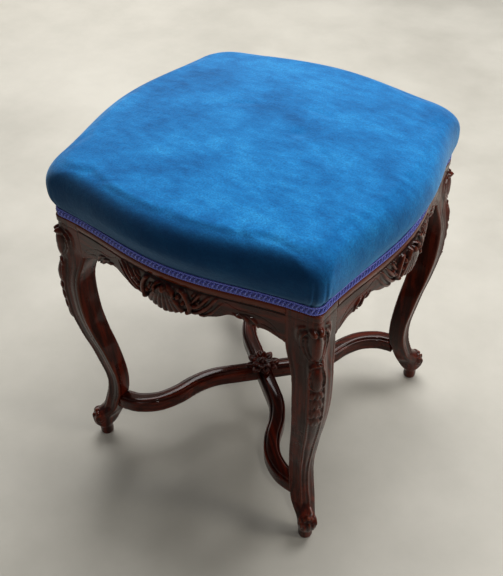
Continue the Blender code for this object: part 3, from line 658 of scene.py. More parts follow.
def carve_rail(along, height):
    """The shell in the middle, leaf sprays beside it, and a small hanging leaf near each end."""
    relief = Relief(np.abs(along), height)
    # Shell: lobes that open downwards from a bead, under a strong C-shaped rim.
    for number, foot in enumerate((0, 9.5, 18.5, 27)):
        lobe = [(foot * 0.16, 450), (foot * 0.62, 432), (foot, 407.5 + 0.010 * foot**2)]
        relief.ridge(lobe, (1.8, 6.0), (5.0, 7.2 - number * 0.5), 0.10, 0.3)
    rim = [(0, 463.0), (14, 461.5), (27, 454), (35, 441), (38, 427), (35.5, 417)]
    relief.ridge(rim, (3.2, 3.8), (6.0, 7.0), 0.18, 0.25)
    relief.ridge([(0, 455.5), (8, 453.5), (14, 447), (15, 439), (11, 434)], (2.0, 2.0), (7.8, 7.2), 0.0, 0.3)
    relief.knob(0, 446.5, 5.2, 6.2, 9.0)
    relief.knob(22, 441, 3.4, 4.6, 6.2)
    relief.knob(28.5, 432, 2.6, 3.4, 5.6)
    relief.knob(35, 419, 4.6, 4.4, 7.0)
    # Spray: long leaves that sweep outwards and up, with veins.
    relief.ridge([(37, 418), (50, 423), (64, 437), (73, 450), (80, 459)], (3.6, 2.2), (5.2, 2.6), 0.22)
    relief.ridge([(40, 427), (50, 434), (60, 446), (67, 456)], (3.4, 2.2), (5.6, 3.0), 0.22)
    relief.ridge([(41, 437), (47, 445), (52, 453), (55, 459)], (3.0, 2.0), (4.6, 2.6), 0.2)
    relief.ridge([(48, 416.5), (59, 421), (69, 429), (77, 440), (84, 449)], (2.6, 1.8), (3.6, 1.8), 0.2)
    relief.ridge([(42, 447), (46, 453), (46, 459)], (2.4, 1.4), (3.2, 1.8), 0.15)
    relief.knob(44.5, 432, 3.2, 3.2, 5.6)
    relief.knob(50.5, 440.5, 2.4, 2.6, 4.6)
    relief.knob(59, 433, 2.2, 2.2, 4.0)
    # Small hanging leaf.
    relief.ridge([(96, 436), (102, 434), (107, 428), (109, 423)], (2.4, 2.6), (2.4, 3.2), 0.2)
    relief.ridge([(104, 438), (112, 435), (117, 428), (118.5, 420.5)], (2.6, 3.0), (2.8, 3.8), 0.2)
    relief.ridge([(113, 439), (121, 436), (127, 430), (130, 423)], (2.4, 2.4), (2.4, 3.0), 0.2)
    relief.knob(112.5, 424, 2.2, 2.4, 3.6)
    relief.knob(124, 423, 2.0, 2.2, 3.2)
    # Ground that lifts the carving off the face, and lines sunk beside it.
    relief.ground(0, 434, 36, 30, 2.8)
    relief.ground(58, 438, 26, 17, 0.9)
    relief.groove([(88, 452), (104, 444.5), (125, 444), (144, 437), (158, 424)], 0.8, 0.8)
    relief.groove([(134, 431), (147, 426.5), (158, 416), (163, 409)], 0.9, 0.9)
    return relief.out * MM


# How much deeper the leg is carved than its sizes below say.
LEG_CARVING_DEPTH = 1.15


def carve_leg(across, height):
    """The carved knee: curls, a bulb between ribbons, a smooth oval and a chain of husks."""
    relief = Relief(np.abs(across), height)
    relief.knob(5.4, 442, 5.4, 5.6, 8.0)
    relief.knob(5.6, 442.5, 2.4, 2.6, 9.6)
    bulb = [(0, 435), (0, 422), (0, 407), (0, 395)]
    relief.ridge(bulb, (10.5, 12.0, 7.6, 2.6), (7.6, 7.2, 4.6, 1.6), 0.0, 0.35)
    # Three ribbons down each side of the bulb.
    ribbon = [(12.5, 441), (17.6, 433), (18.2, 421), (15.0, 409), (9.5, 398)]
    relief.ridge(ribbon, (2.4, 1.9), (6.4, 3.4), 0.0, 0.3)
    relief.ridge([(12.6, 431), (13.4, 420), (10.6, 408), (5.8, 399)], (1.9, 1.5), (5.4, 2.8), 0.0, 0.3)
    ribbon = [(14.5, 448), (20.0, 443), (22.0, 433), (20.5, 421), (15.5, 408), (12.8, 397)]
    relief.ridge(ribbon, (2.2, 1.5), (4.0, 1.8), 0.0, 0.3)
    # The smooth oval, with a collar over it and a bead round it.
    relief.ridge([(0, 391.5), (4.8, 390.5), (9.2, 386.0)], (1.8, 1.5), (4.3, 3.2), 0.0, 0.25)
    relief.ridge([(0, 385), (0, 371), (0, 355.5)], (8.6, 9.8, 7.6), (4.2, 5.2, 4.0), 0.0, 0.25)
    bead = [(0, 387.8), (7.8, 383.8), (11.4, 371.0), (9.6, 357.5), (4.0, 352.0)]
    relief.ridge(bead, (1.3, 1.1), (3.7, 3.2), 0.0, 0.25)
    husks = ((351.0, 14.0), (336.5, 19.0), (316.5, 18.5), (297.5, 18.0))
    for number, (top, length) in enumerate(husks):
        size = 1 - 0.09 * number
        for end in (0.0, 7.2 * size):
            points = [(end * 0.15, top), (end * 0.8, top - length * 0.5), (end, top - length)]
            relief.ridge(points, (2.2, 3.5 * size), (2.6, 4.5 * size), 0.12, 0.4)
    relief.ridge([(9.6, 306), (9.4, 293), (6.6, 283.0), (0, 278.5)], (1.2, 1.2), (2.0, 2.0), 0.0, 0.2)
    return relief.out * LEG_CARVING_DEPTH * MM


# ---------------------------------------------------------------- legs

# Points of a half section on the panel, the outer side face and the inner side face.
PANEL_POINTS = 12
SIDE_FACE_POINTS = 26
INNER_FACE_POINTS = 22
# Ring spacing, and the step that puts a ring on each side of the frame's top.
RING_STEP = 0.0011
SHARP_STEP = 1e-5
# The share of half a turn that the peg's half section takes, so that its ends don't meet.
PEG_SHARE = 0.985
# Hollow and two fine lines along a side face: depth, then middle and width as shares of it.
SIDE_HOLLOWS = ((0.0014, 0.42, 0.20), (0.0012, 0.86, 0.035), (0.0007, 0.14, 0.03))
# Foot scroll: the volutes' centre (distance along the diagonal, height), then the balls on
# each side of it (name, distance, across, height, half sizes, lean) and over its front.
SCROLL = (0.2895, 0.0425)
SCROLL_SIDE_BALLS = (
    ("eye", SCROLL[0], 0.0136, SCROLL[1], (0.0026, 0.0022, 0.0026), 0.0),
    ("cheek", SCROLL[0], 0.0085, SCROLL[1], (0.0098, 0.0052, 0.0096), 0.0),
    ("curl", 0.2925, 0.0052, 0.0520, (0.0040, 0.0034, 0.0040), -0.5),
    ("leaf_side", 0.2975, 0.0066, 0.0345, (0.0030, 0.0034, 0.0095), 0.25),
)
SCROLL_MIDDLE_BALLS = (
    ("leaf_middle", 0.2990, 0.0375, (0.0032, 0.0034, 0.0125), 0.12),
    ("leaf_tip", 0.2930, 0.0545, (0.0042, 0.0036, 0.0042), -0.6),
)
VOLUTE_POINTS = 40
LEG_VOXEL = 0.00115
# Depth of a hollow that is as dark as old polish and the painted shade make it.
CARVING_HOLLOW = 0.0006


def leg_half_sections(stations):
    """Half sections (distance along the diagonal, across it) of the square part of a leg."""
    sections = []
    for outer, side, panel, flare in stations:
        corner, reach, half = outer * ROOT_TWO, side / ROOT_TWO, panel / 2
        out, middle = flare / ROOT_TWO, outer * ROOT_TWO - side / ROOT_TWO
        across = np.linspace(0, half, PANEL_POINTS, endpoint=False)
        crown = PANEL_CROWN * half * (1 - (across / half) ** 2)
        runs = [np.stack([corner - half + crown, across], 1)]
        knots = [
            (corner - half, half),
            (middle + LEG_EDGE + out, reach - LEG_EDGE + out),
            (middle + out, reach - LEG_EDGE * 0.4 + out),
            (middle - LEG_EDGE, reach - LEG_EDGE),
            (corner - 2 * reach + LEG_EDGE, LEG_EDGE),
        ]
        counts = (SIDE_FACE_POINTS, 2, 2, INNER_FACE_POINTS)
        for start, end, count in zip(knots, knots[1:], counts):
            runs.append(np.linspace(start, end, count, endpoint=False))
        runs.append(np.array([knots[-1]]))
        sections.append(np.concatenate(runs))
    return np.array(sections)


def resample(polyline, shares):
    """Points of a polyline at shares of its length."""
    steps = np.linalg.norm(np.diff(polyline, axis=0), axis=1)
    place = np.concatenate([[0], np.cumsum(steps)])
    place /= place[-1]
    return np.stack([np.interp(shares, place, polyline[:, k]) for k in (0, 1)], 1)


def leg_rings():
    """Rings of a leg from the tacking top to the floor, without its carving."""
    set_back = CORNER_HALF - TACKING_SET_BACK
    block = (CORNER_HALF, LEG_BLOCK, BLOCK_PANEL, LEG_FLARE)
    tacking = (set_back, set_back - BLOCK_INNER, TACKING_CORNER, 0.0)
    heights = [TACKING_TOP, FRAME_TOP + SHARP_STEP, FRAME_TOP - SHARP_STEP, BLOCK_BOTTOM]
    stations = [tacking, tacking, block, block]
    for height, outer, side, panel in LEG_STATIONS:
        heights.append(height)
        stations.append((outer, side, panel, 0.0))
    sections = list(leg_half_sections(stations))
    steps = np.linalg.norm(np.diff(sections[-1], axis=0), axis=1)
    shares = np.concatenate([[0], np.cumsum(steps)]) / steps.sum()
    for height, outer, inner, middle, half, front in FOOT_STATIONS:
        knots = [
            (outer, 0), (outer - 0.0008, front * 0.5), (outer - 0.003, front),
            (middle + 0.006, half), (middle - 0.004, half), (inner, half * 0.35),
        ]
        sections.append(resample(np.array(knots), shares))
        heights.append(height)
    for height, radius in PEG_STATIONS:
        turn = shares * math.pi * PEG_SHARE
        sections.append(np.stack([PEG_DISTANCE + radius * np.cos(turn), radius * np.sin(turn)], 1))
        heights.append(height)
    heights, sections = np.array(heights)[::-1], np.array(sections)[::-1]
    levels = np.concatenate([
        [TACKING_TOP, FRAME_TOP + SHARP_STEP],
        np.arange(FRAME_TOP - SHARP_STEP, 0.004, -RING_STEP),
        [0.004, 0.0022, 0.0012, 0.0],
    ])
    # The rounding between stations, by height: most on the shank, none on the block.
    rounding = [0, 0.003, 0.004, 0.009, 0.009, 0.0]
    spread = np.interp(levels, [0.004, 0.03, 0.06, 0.09, 0.40, 0.425], rounding)
    half = np.empty((len(levels), sections.shape[1], 2))
    for point in range(sections.shape[1]):
        for k in (0, 1):
            half[:, point, k] = softened(levels, spread, heights, sections[:, point, k])
    return levels, half


def mould_leg(levels, half):
    """Adds beads, flutes, the frame's band and the carving to the half sections."""
    z = levels[:, None]
    distance, across = half[..., 0].copy(), half[..., 1].copy()
    edge = half[:, PANEL_POINTS, 1][:, None]
    front = np.zeros(half.shape[1], dtype=bool)
    front[: PANEL_POINTS + SIDE_FACE_POINTS] = True
    squared = (levels > 0.066)[:, None]
    below_knee = np.interp(levels, [0.058, 0.075, 0.385, 0.405], [0, 1, 1, 0])[:, None]
    # Beads along both edges of the panel, down to the foot.
    near_edge = (half[..., 1] - edge) / 0.0018
    bead = 0.0019 * np.sqrt(np.clip(1 - near_edge**2, 0, None))
    sunk = 0.0012 * np.exp(-(((edge - half[..., 1]) / 0.0030 - 1.0) / 0.45) ** 2)
    lift = (bead - sunk * (half[..., 1] < edge)) * below_knee * squared
    # Hollow and lines along each side face, cut square to it.
    face = slice(PANEL_POINTS, PANEL_POINTS + SIDE_FACE_POINTS)
    run = np.linspace(0, 1, SIDE_FACE_POINTS)[None, :]
    hollow = sum(depth * np.exp(-(((run - middle) / width) ** 2)) for depth, middle, width in SIDE_HOLLOWS)
    hollow = hollow * below_knee * squared
    distance[:, face] -= hollow / ROOT_TWO
    across[:, face] -= hollow / ROOT_TWO
    # The band round the top of the frame, with a groove under it.
    band = BAND_PROUD * ((z > BAND_LOWER_EDGE) & (z < FRAME_TOP)) * np.clip((FRAME_TOP - z) / 0.001, 0, 1)
    band = band - BAND_PROUD * np.exp(-(((z - BAND_GROOVE_Z) / 0.0011) ** 2))
    band = band * (levels < FRAME_TOP)[:, None]
    outside = slice(0, PANEL_POINTS + SIDE_FACE_POINTS + 1)
    distance[:, outside] += np.broadcast_to(band, distance.shape)[:, outside]
    carved = carve_leg(across, np.broadcast_to(z, across.shape))
    fade = np.clip((0.0250 - np.abs(half[..., 1])) / 0.003, 0, 1)
    distance += (lift + carved * fade) * front[None, :]
    return distance, across


def spiral_tube(name, side, centre, turns, start_radius, end_radius, tube):
    """A rolled bead on one side of the foot scroll: a curve with a round bevel."""
    curve = bpy.data.curves.new(name, "CURVE")
    curve.dimensions = "3D"
    curve.bevel_depth = tube
    curve.bevel_resolution = 3
    curve.use_fill_caps = True
    spline = curve.splines.new("POLY")
    spline.points.add(VOLUTE_POINTS - 1)
    for i in range(VOLUTE_POINTS):
        share = i / (VOLUTE_POINTS - 1)
        turn = math.radians(100) - math.tau * turns * share
        radius = start_radius + (end_radius - start_radius) * share
        distance, height = centre[0] + radius * math.cos(turn), centre[1] + radius * math.sin(turn)
        lean = side * (centre[2] + 0.0022 * share)
        place = from_diagonal(distance, lean, height)
        spline.points[i].co = (*place, 1)
        spline.points[i].radius = 1 - 0.45 * share
    only(add_object(name, curve))
    bpy.ops.object.convert(target="MESH")
    return bpy.context.object


def from_diagonal(distance, across, height):
    return ((distance - across) / ROOT_TWO, (distance + across) / ROOT_TWO, height)


def diagonal_ball(name, distance, across, height, sizes, lean=0.0):
    """An ellipsoid with its axes along the diagonal, across it and upright."""
    ball = add_ball(name, 24, 14)
    place = Matrix.Translation(from_diagonal(distance, across, height))
    turn = Matrix.Rotation(math.radians(45), 4, "Z") @ Matrix.Rotation(lean, 4, "Y")
    ball.data.transform(place @ turn @ Matrix.Diagonal((*sizes, 1)))
    return ball


def make_foot_scroll():
    """The rolled volutes, their eyes and the little leaf over the front of the scroll."""
    parts = []
    for side in (-1, 1):
        parts.append(spiral_tube(f"volute_{side}", side, (*SCROLL, 0.0118), 1.6, 0.0088, 0.0022, 0.0020))
        for name, distance, across, height, sizes, lean in SCROLL_SIDE_BALLS:
            parts.append(diagonal_ball(f"{name}_{side}", distance, side * across, height, sizes, lean))
    for name, distance, height, sizes, lean in SCROLL_MIDDLE_BALLS:
        parts.append(diagonal_ball(name, distance, 0.0, height, sizes, lean))
    return parts


def make_legs(walnut):
    levels, half = leg_rings()
    distance, across = mould_leg(levels, half)
    # The two halves of a leg are alike, mirrored across its diagonal.
    full_distance = np.concatenate([distance, distance[:, :0:-1]], 1)
    full_across = np.concatenate([across, -across[:, :0:-1]], 1)
    heights = np.broadcast_to(levels[:, None], full_distance.shape)
    x, y, z = from_diagonal(full_distance, full_across, heights)
    leg = skin("leg", np.stack([x, y, z], -1))
    join(leg, make_foot_scroll())
    apply_modifier(leg, "fuse", "REMESH", mode="VOXEL", voxel_size=LEG_VOXEL)
    apply_modifier(leg, "sand", "SMOOTH", factor=0.5, iterations=2)
    points = points_of(leg)
    points[:, 2] = np.maximum(points[:, 2], 0)
    set_points(leg, points)
    smooth_faces(leg)
    write_attribute(leg, "grain", points_of(leg), "FLOAT_VECTOR")
    write_cavity(leg, CARVING_HOLLOW)
    for corner, quarter in CORNER_TURNS.items():
        turn = Matrix.Rotation(math.radians(90 * quarter), 4, "Z")
        copy = copy_turned(leg, f"carved_leg_{corner}", turn, 0.37 * (quarter + 1))
        place_piece(copy, walnut, "polished_walnut", f"leg_{corner}")
    bpy.data.objects.remove(leg)


# ---------------------------------------------------------------- rails

# How far a rail is let into the legs, so that no open joint shows.
JOINT_REACH = 0.0020
RAIL_POINTS = 300
RAIL_FACE_ROWS = 58
# The scalloped edge of the shell, and the notches in the hanging leaves beside it. A
# hanging leaf: its distance from the middle of the rail, its half width.
SHELL_HALF = 0.031
LOBE_PITCH = 0.0095
LOBE_DEPTH = 0.0018
NOTCH_PITCH = 0.011
NOTCH_DEPTH = 0.0012
HANGING_LEAF = (0.113, 0.016)


def make_rails(walnut):
    """The rail at +X: a swept section whose outer face carries the carving."""
    end = BLOCK_INNER + JOINT_REACH
    along = np.linspace(-end, end, RAIL_POINTS)
    out_along = np.abs(along)
    table = np.array(APRON_EDGE)
    low = softened(out_along, 0.004, table[:, 0], table[:, 1])
    lobes = LOBE_DEPTH * np.abs(np.sin(math.pi * (out_along - LOBE_PITCH / 2) / LOBE_PITCH)) ** 1.5
    low = low + np.where(out_along < SHELL_HALF, lobes, 0)
    notches = NOTCH_DEPTH * np.abs(np.sin(math.pi * out_along / NOTCH_PITCH))
    low = low + notches * (np.abs(out_along - HANGING_LEAF[0]) < HANGING_LEAF[1])
    share = np.linspace(0, 1, RAIL_FACE_ROWS)[None, :]
    top = BAND_GROOVE_Z - 0.0012
    heights = top + (low[:, None] + 0.0018 - top) * share
    carved = carve_rail(np.broadcast_to(along[:, None], heights.shape), heights)
    carved *= np.clip(share / 0.06, 0, 1)
    # Tacking strip, the band round the frame and the groove under it: out, up.
    band = [
        (-TACKING_SET_BACK, TACKING_TOP), (-TACKING_SET_BACK, FRAME_TOP), (0.0003, FRAME_TOP),
        (BAND_PROUD, FRAME_TOP - 0.0007), (BAND_PROUD * 1.3, FRAME_TOP - 0.005),
        (BAND_PROUD, BAND_LOWER_EDGE + 0.0008), (0.0002, BAND_LOWER_EDGE),
        (-BAND_PROUD, BAND_GROOVE_Z + 0.0007), (-BAND_PROUD, BAND_GROOVE_Z - 0.0004),
    ]
    outs = [np.full(len(along), -RAIL_THICKNESS)] + [np.full(len(along), out) for out, _ in band]
    ups = [np.full(len(along), TACKING_TOP)] + [np.full(len(along), up) for _, up in band]
    outs += list(carved.T)
    ups += list(heights.T)
    last = carved[:, -1]
    for inward, drop in ((0.0005, 0.0008), (0.0017, 0.0002), (0.0030, 0.0)):
        outs.append(last - inward)
        ups.append(low + drop)
    for inward in (0.006, 0.010, APRON_THICKNESS):
        outs.append(np.full(len(along), -inward))
        ups.append(low)
    for share_up in (0.33, 0.66, 1.0):
        outs.append(np.full(len(along), -APRON_THICKNESS))
        ups.append(low + (LEDGE_Z - low) * share_up)
    outs.append(np.full(len(along), -RAIL_THICKNESS))
    ups.append(np.full(len(along), LEDGE_Z))
    outs, ups = np.array(outs).T, np.array(ups).T
    face = side_distance(along)[:, None]
    rings = np.stack([face + outs, np.broadcast_to(along[:, None], outs.shape), ups], -1)
    rail = skin("rail", rings)
    apply_modifier(rail, "sand", "SMOOTH", factor=0.35, iterations=1)
    smooth_faces(rail, 50)
    points = points_of(rail)
    write_attribute(rail, "grain", points[:, (0, 2, 1)], "FLOAT_VECTOR")
    write_cavity(rail, CARVING_HOLLOW)
    for side, quarter in SIDE_TURNS.items():
        turn = Matrix.Rotation(math.radians(90 * quarter), 4, "Z")
        copy = copy_turned(rail, f"carved_rail_{side}", turn, 1.9 + 0.41 * quarter)
        place_piece(copy, walnut, "polished_walnut", f"rail_{side}")
    bpy.data.objects.remove(rail)


# ---------------------------------------------------------------- stretcher

# Depth of a hollow in an arm that gets the full painted shade, with old polish.
ARM_HOLLOW = 0.0016
PETAL_COUNT = 8
# Leaf and petal of the rosette: reach, half length, half width, height over the base, tilt.
ROSETTE_LEAF = (0.0190, 0.0112, 0.0078, 0.0034, 0.16)
ROSETTE_PETAL = (0.0130, 0.0092, 0.0066, 0.0076, 0.50)
PETAL_HALF_THICKNESS = 0.0038
# Heart: its beads and the knob in their middle.
HEART_BEADS = 6
HEART_BEAD_RADIUS = 0.0024
HEART_RADIUS = 0.0052
KNOB_RADIUS = 0.0044
# The turned base that the leaves stand on.
ROSETTE_RADIUS = (0.0205, 0.0095)
ROSETTE_HEIGHT = 0.0085
ROSETTE_VOXEL = 0.00065


def leg_inner_face(height):
    """Distance of a leg's inner faces from the centre plane, where the arms meet it."""
    (z0, outer0, side0, _), (z1, outer1, side1, _) = LEG_STATIONS[-2:]
    share = (height - z0) / (z1 - z0)
    return (outer0 - side0) + ((outer1 - side1) - (outer0 - side0)) * share


def make_arms(walnut):
    """One arm of the X stretcher, swept along its curve, then mitred at the crossing."""
    path = smooth_curve(ARM_PATH, 12)
    ahead = np.gradient(path, axis=0)
    ahead /= np.linalg.norm(ahead, axis=1)[:, None]
    normal = np.stack([ahead[:, 1], -ahead[:, 0]], 1)
    half = np.array(ARM_SECTION)
    section = np.concatenate([half, half[-2::-1] * (-1, 1)])
    section = np.concatenate([section, [(-0.006, 0.0), (0.0, 0.0), (0.006, 0.0)]])
    plan = path[:, None, :] + normal[:, None, :] * section[None, :, 0, None]
    heights = np.broadcast_to(ARM_BOTTOM + section[:, 1], plan.shape[:2])
    rings = np.concatenate([plan, heights[..., None]], -1)
    for i, (out, up) in enumerate(section):
        rings[-1, i] = (leg_inner_face(ARM_BOTTOM + up) - 2 * GAP, ARM_END_Y - out, ARM_BOTTOM + up)
    arm = skin("arm", rings)
    only(arm)
    for plane in ((1, 0, 0), (0, 1, 0)):
        bpy.ops.object.mode_set(mode="EDIT")
        bpy.ops.mesh.select_all(action="SELECT")
        start = tuple(GAP / 2 * axis for axis in plane)
        bpy.ops.mesh.bisect(plane_co=start, plane_no=plane, use_fill=True, clear_inner=True)
        bpy.ops.object.mode_set(mode="OBJECT")
    apply_modifier(
        arm, "ease", "BEVEL", width=0.0006, segments=2, limit_method="ANGLE", angle_limit=math.radians(60)
    )
    smooth_faces(arm, 40)
    points = points_of(arm)
    along = np.hypot(points[:, 0], points[:, 1])
    grain = np.stack([points[:, 0] - points[:, 1], points[:, 2], along], 1)
    write_attribute(arm, "grain", grain, "FLOAT_VECTOR")
    write_cavity(arm, ARM_HOLLOW, 2)
    for number, (corner, (sx, sy)) in enumerate(CORNER_SIGNS.items()):
        copy = copy_turned(arm, f"moulded_arm_{corner}", Matrix.Diagonal((sx, sy, 1, 1)), 4.2 + 0.53 * number)
        place_piece(copy, walnut, "polished_walnut", f"stretcher_arm_{corner}")
    bpy.data.objects.remove(arm)


def petal(name, turn, sizes):
    """One petal: a ball drawn out, tipped up and creased along its middle."""
    reach, length, width, rise, tilt = sizes
    ball = add_ball(name, 20, 12)
    points = points_of(ball)
    crease = 0.45 * np.exp(-((points[:, 1] / 0.28) ** 2)) * (points[:, 2] > 0)
    points[:, 2] -= crease * (1 - 0.5 * np.abs(points[:, 0]))
    points[:, 1] *= 1 - 0.55 * np.clip(points[:, 0], 0, 1) ** 2
    set_points(ball, points)
    matrix = (
        Matrix.Rotation(turn, 4, "Z")
        @ Matrix.Translation((reach, 0, ROSETTE_BASE + rise))
        @ Matrix.Rotation(-tilt, 4, "Y")
        @ Matrix.Diagonal((length, width, PETAL_HALF_THICKNESS, 1))
    )
    ball.data.transform(matrix)
    return ball


def make_rosette(walnut):
    """Eight leaves below, eight petals over them and a beaded heart."""
    parts = []
    for i in range(PETAL_COUNT):
        turn = math.tau * i / PETAL_COUNT
        parts.append(petal(f"leaf_{i}", turn, ROSETTE_LEAF))
        parts.append(petal(f"petal_{i}", turn + math.tau / PETAL_COUNT / 2, ROSETTE_PETAL))
    for i in range(HEART_BEADS):
        turn = math.tau * i / HEART_BEADS
        place = (HEART_RADIUS * math.cos(turn), HEART_RADIUS * math.sin(turn), ROSETTE_BASE + 0.0104)
        bpy.ops.mesh.primitive_uv_sphere_add(
            segments=14, ring_count=10, radius=HEART_BEAD_RADIUS, location=place
        )
        parts.append(bpy.context.object)
    bpy.ops.mesh.primitive_uv_sphere_add(
        segments=20, ring_count=14, radius=KNOB_RADIUS, location=(0, 0, ROSETTE_TOP - KNOB_RADIUS)
    )
    parts.append(bpy.context.object)
    bpy.ops.mesh.primitive_cone_add(
        vertices=48, radius1=ROSETTE_RADIUS[0], radius2=ROSETTE_RADIUS[1], depth=ROSETTE_HEIGHT,
        location=(0, 0, ROSETTE_BASE + ROSETTE_HEIGHT / 2),
    )
    base = bpy.context.object
    base.name = "rosette"
    for part in [*parts, base]:
        only(part)
        bpy.ops.object.transform_apply(location=True, rotation=True, scale=True)
    join(base, parts)
    apply_modifier(base, "fuse", "REMESH", mode="VOXEL", voxel_size=ROSETTE_VOXEL)
    apply_modifier(base, "sand", "SMOOTH", factor=0.5, iterations=2)
    points = points_of(base)
    points[:, 2] = np.clip(points[:, 2], ROSETTE_BASE, ROSETTE_TOP)
    set_points(base, points)
    smooth_faces(base)
    base.name = "carved_rosette"
    write_attribute(base, "grain", points_of(base)[:, (0, 2, 1)] + 7.7, "FLOAT_VECTOR")
    write_cavity(base, CARVING_HOLLOW)
    place_piece(base, walnut, "polished_walnut", "stretcher_rosette")


# ---------------------------------------------------------------- velvet cover

# Seat dome: how far its sides and corners swell past the frame, where it is widest, how far
# the roll between its side and its top leans in, and the height of the middle of the top.
SWELL_SIDE = 0.0145
SWELL_CORNER = 0.0080
WIDEST_Z = 0.515
VELVET_START_Z = 0.4697
VELVET_FREE_Z = 0.482
VELVET_SET_IN = 0.0018
ROLL_IN_SIDE = 0.028
ROLL_IN_CORNER = 0.0205
ROLL_END = math.radians(86.5)
ROLL_FULLNESS = 2 / 2.3
TOP_CORNER_RADIUS = 0.060
TOP_Z = 0.5639
CROWN = 0.0085
CROWN_REACH = 0.2225
VELVET_THICKNESS = 0.0014
# Pleats beside each corner: depth, distance from the diagonal, width.
CORNER_PLEATS = ((0.0022, 0.0075, 0.0022), (0.0012, 0.0150, 0.0026))
# The dimple in the top: place, depth, radius. Creases: start, end, depth.
TOP_DIMPLE = (0.056, 0.007)
DIMPLE_DEPTH = 0.0022
DIMPLE_RADIUS = 0.011
TOP_CREASES = (
    ((0.096, -0.008), (0.134, -0.044), 0.0009), ((0.086, -0.198), (0.122, -0.226), 0.0008),
    ((-0.075, 0.030), (-0.030, 0.052), 0.0006), ((0.030, 0.075), (0.085, 0.066), 0.0006),
)
DOME_SIDE_POINTS = 62
DOME_CORNER_POINTS = 14


def crown_height(plan):
    """Height of the top over a place in the plan."""
    return TOP_Z - CROWN * (plan**2).sum(-1) / CROWN_REACH**2


def dome_plan(side, corner, radius):
    """Plan of one ring, from how far its sides and its corners stand out."""
    return outline(DOME_SIDE_POINTS, DOME_CORNER_POINTS, corner, side - corner, radius)[0]


def dome_rings(skirt_rows, roll_rows):
    """Rings of the dome from the frame up to the edge of its top."""
    rings = []
    for z in (VELVET_START_Z, 0.4735, 0.4778):
        rings.append((dome_plan(-VELVET_SET_IN, -VELVET_SET_IN, CORNER_RADIUS), z))
    for share in np.linspace(0, 1, skirt_rows):
        side = -VELVET_SET_IN + (SWELL_SIDE + VELVET_SET_IN) * (1 - (1 - share) ** 1.3)
        corner = -VELVET_SET_IN + (SWELL_CORNER + VELVET_SET_IN) * (1 - (1 - share) ** 3.5)
        plan = dome_plan(side, corner, CORNER_RADIUS + corner)
        rings.append((plan, VELVET_FREE_Z + (WIDEST_Z - VELVET_FREE_Z) * share))
    start_radius = CORNER_RADIUS + SWELL_CORNER
    last = dome_plan(SWELL_SIDE - ROLL_IN_SIDE, SWELL_CORNER - ROLL_IN_CORNER, TOP_CORNER_RADIUS)
    edge_height = crown_height(last)
    for turn in np.linspace(0, ROLL_END, roll_rows)[1:]:
        inwards = (1 - math.cos(turn) ** ROLL_FULLNESS) / (1 - math.cos(ROLL_END) ** ROLL_FULLNESS)
        upwards = (math.sin(turn) / math.sin(ROLL_END)) ** ROLL_FULLNESS
        plan = dome_plan(
            SWELL_SIDE - ROLL_IN_SIDE * inwards, SWELL_CORNER - ROLL_IN_CORNER * inwards,
            start_radius + (TOP_CORNER_RADIUS - start_radius) * inwards,
        )
        rings.append((plan, WIDEST_Z + (edge_height - WIDEST_Z) * upwards))
    return np.array([np.column_stack([plan, np.broadcast_to(z, len(plan))]) for plan, z in rings])


def dome_top(edge):
    """Square grid over the top. Its border falls on the points of the last ring."""
    cells = len(edge) // 4
    corner_index = DOME_SIDE_POINTS + DOME_CORNER_POINTS // 2
    share = np.linspace(-1, 1, cells + 1)
    u, v = (grid.ravel() for grid in np.meshgrid(share, share, indexing="ij"))
    rho = np.maximum(np.abs(u), np.abs(v))
    a, b = u / np.maximum(rho, 1e-9), v / np.maximum(rho, 1e-9)
    place = np.zeros_like(u)
    for quarter, (side, run) in enumerate(((a, b), (b, -a), (-a, -b), (-b, a))):
        here = side >= np.abs(run)
        place = np.where(here, corner_index + cells * (quarter - 1 + (run + 1) / 2), place)
    low = np.floor(place + 1e-9).astype(int)
    part = (place - low)[:, None]
    border = edge[low % len(edge)] * (1 - part) + edge[(low + 1) % len(edge)] * part
    plan = border[:, :2] * rho[:, None]
    points = np.column_stack([plan, crown_height(plan)])
    index = np.arange(len(points)).reshape(cells + 1, cells + 1)
    faces = np.stack([index[:-1, :-1], index[1:, :-1], index[1:, 1:], index[:-1, 1:]], -1).reshape(-1, 4)
    return points, faces


def make_velvet(velvet):
    rings = dome_rings(6, 10)
    cover = skin("velvet_seat", rings, caps=False)
    points, faces = dome_top(rings[-1])
    join(cover, [add_mesh("velvet_top", points, faces.tolist())])
    apply_modifier(cover, "sew", "WELD", merge_threshold=0.0001)
    point_outwards(cover)
    inflate(cover)
    apply_modifier(cover, "smooth", "SUBSURF", levels=1, render_levels=1)
    fold_velvet(cover)
    apply_modifier(cover, "cloth", "SOLIDIFY", thickness=VELVET_THICKNESS, offset=-1, use_rim=True)
    smooth_faces(cover)
    # How far each point faces the front, for the painted shade on the velvet's front side.
    write_attribute(cover, "front_shade", np.clip(-normals_of(cover)[:, 1], 0, 1))
    place_piece(cover, velvet, "blue_velvet", "velvet_cover")


# The cloth simulation: the most it may swell the seat, how gently it starts, its length.
MOST_SWELL = 0.0030
SWELL_EASE = 0.0006
SETTLE_FRAMES = 20


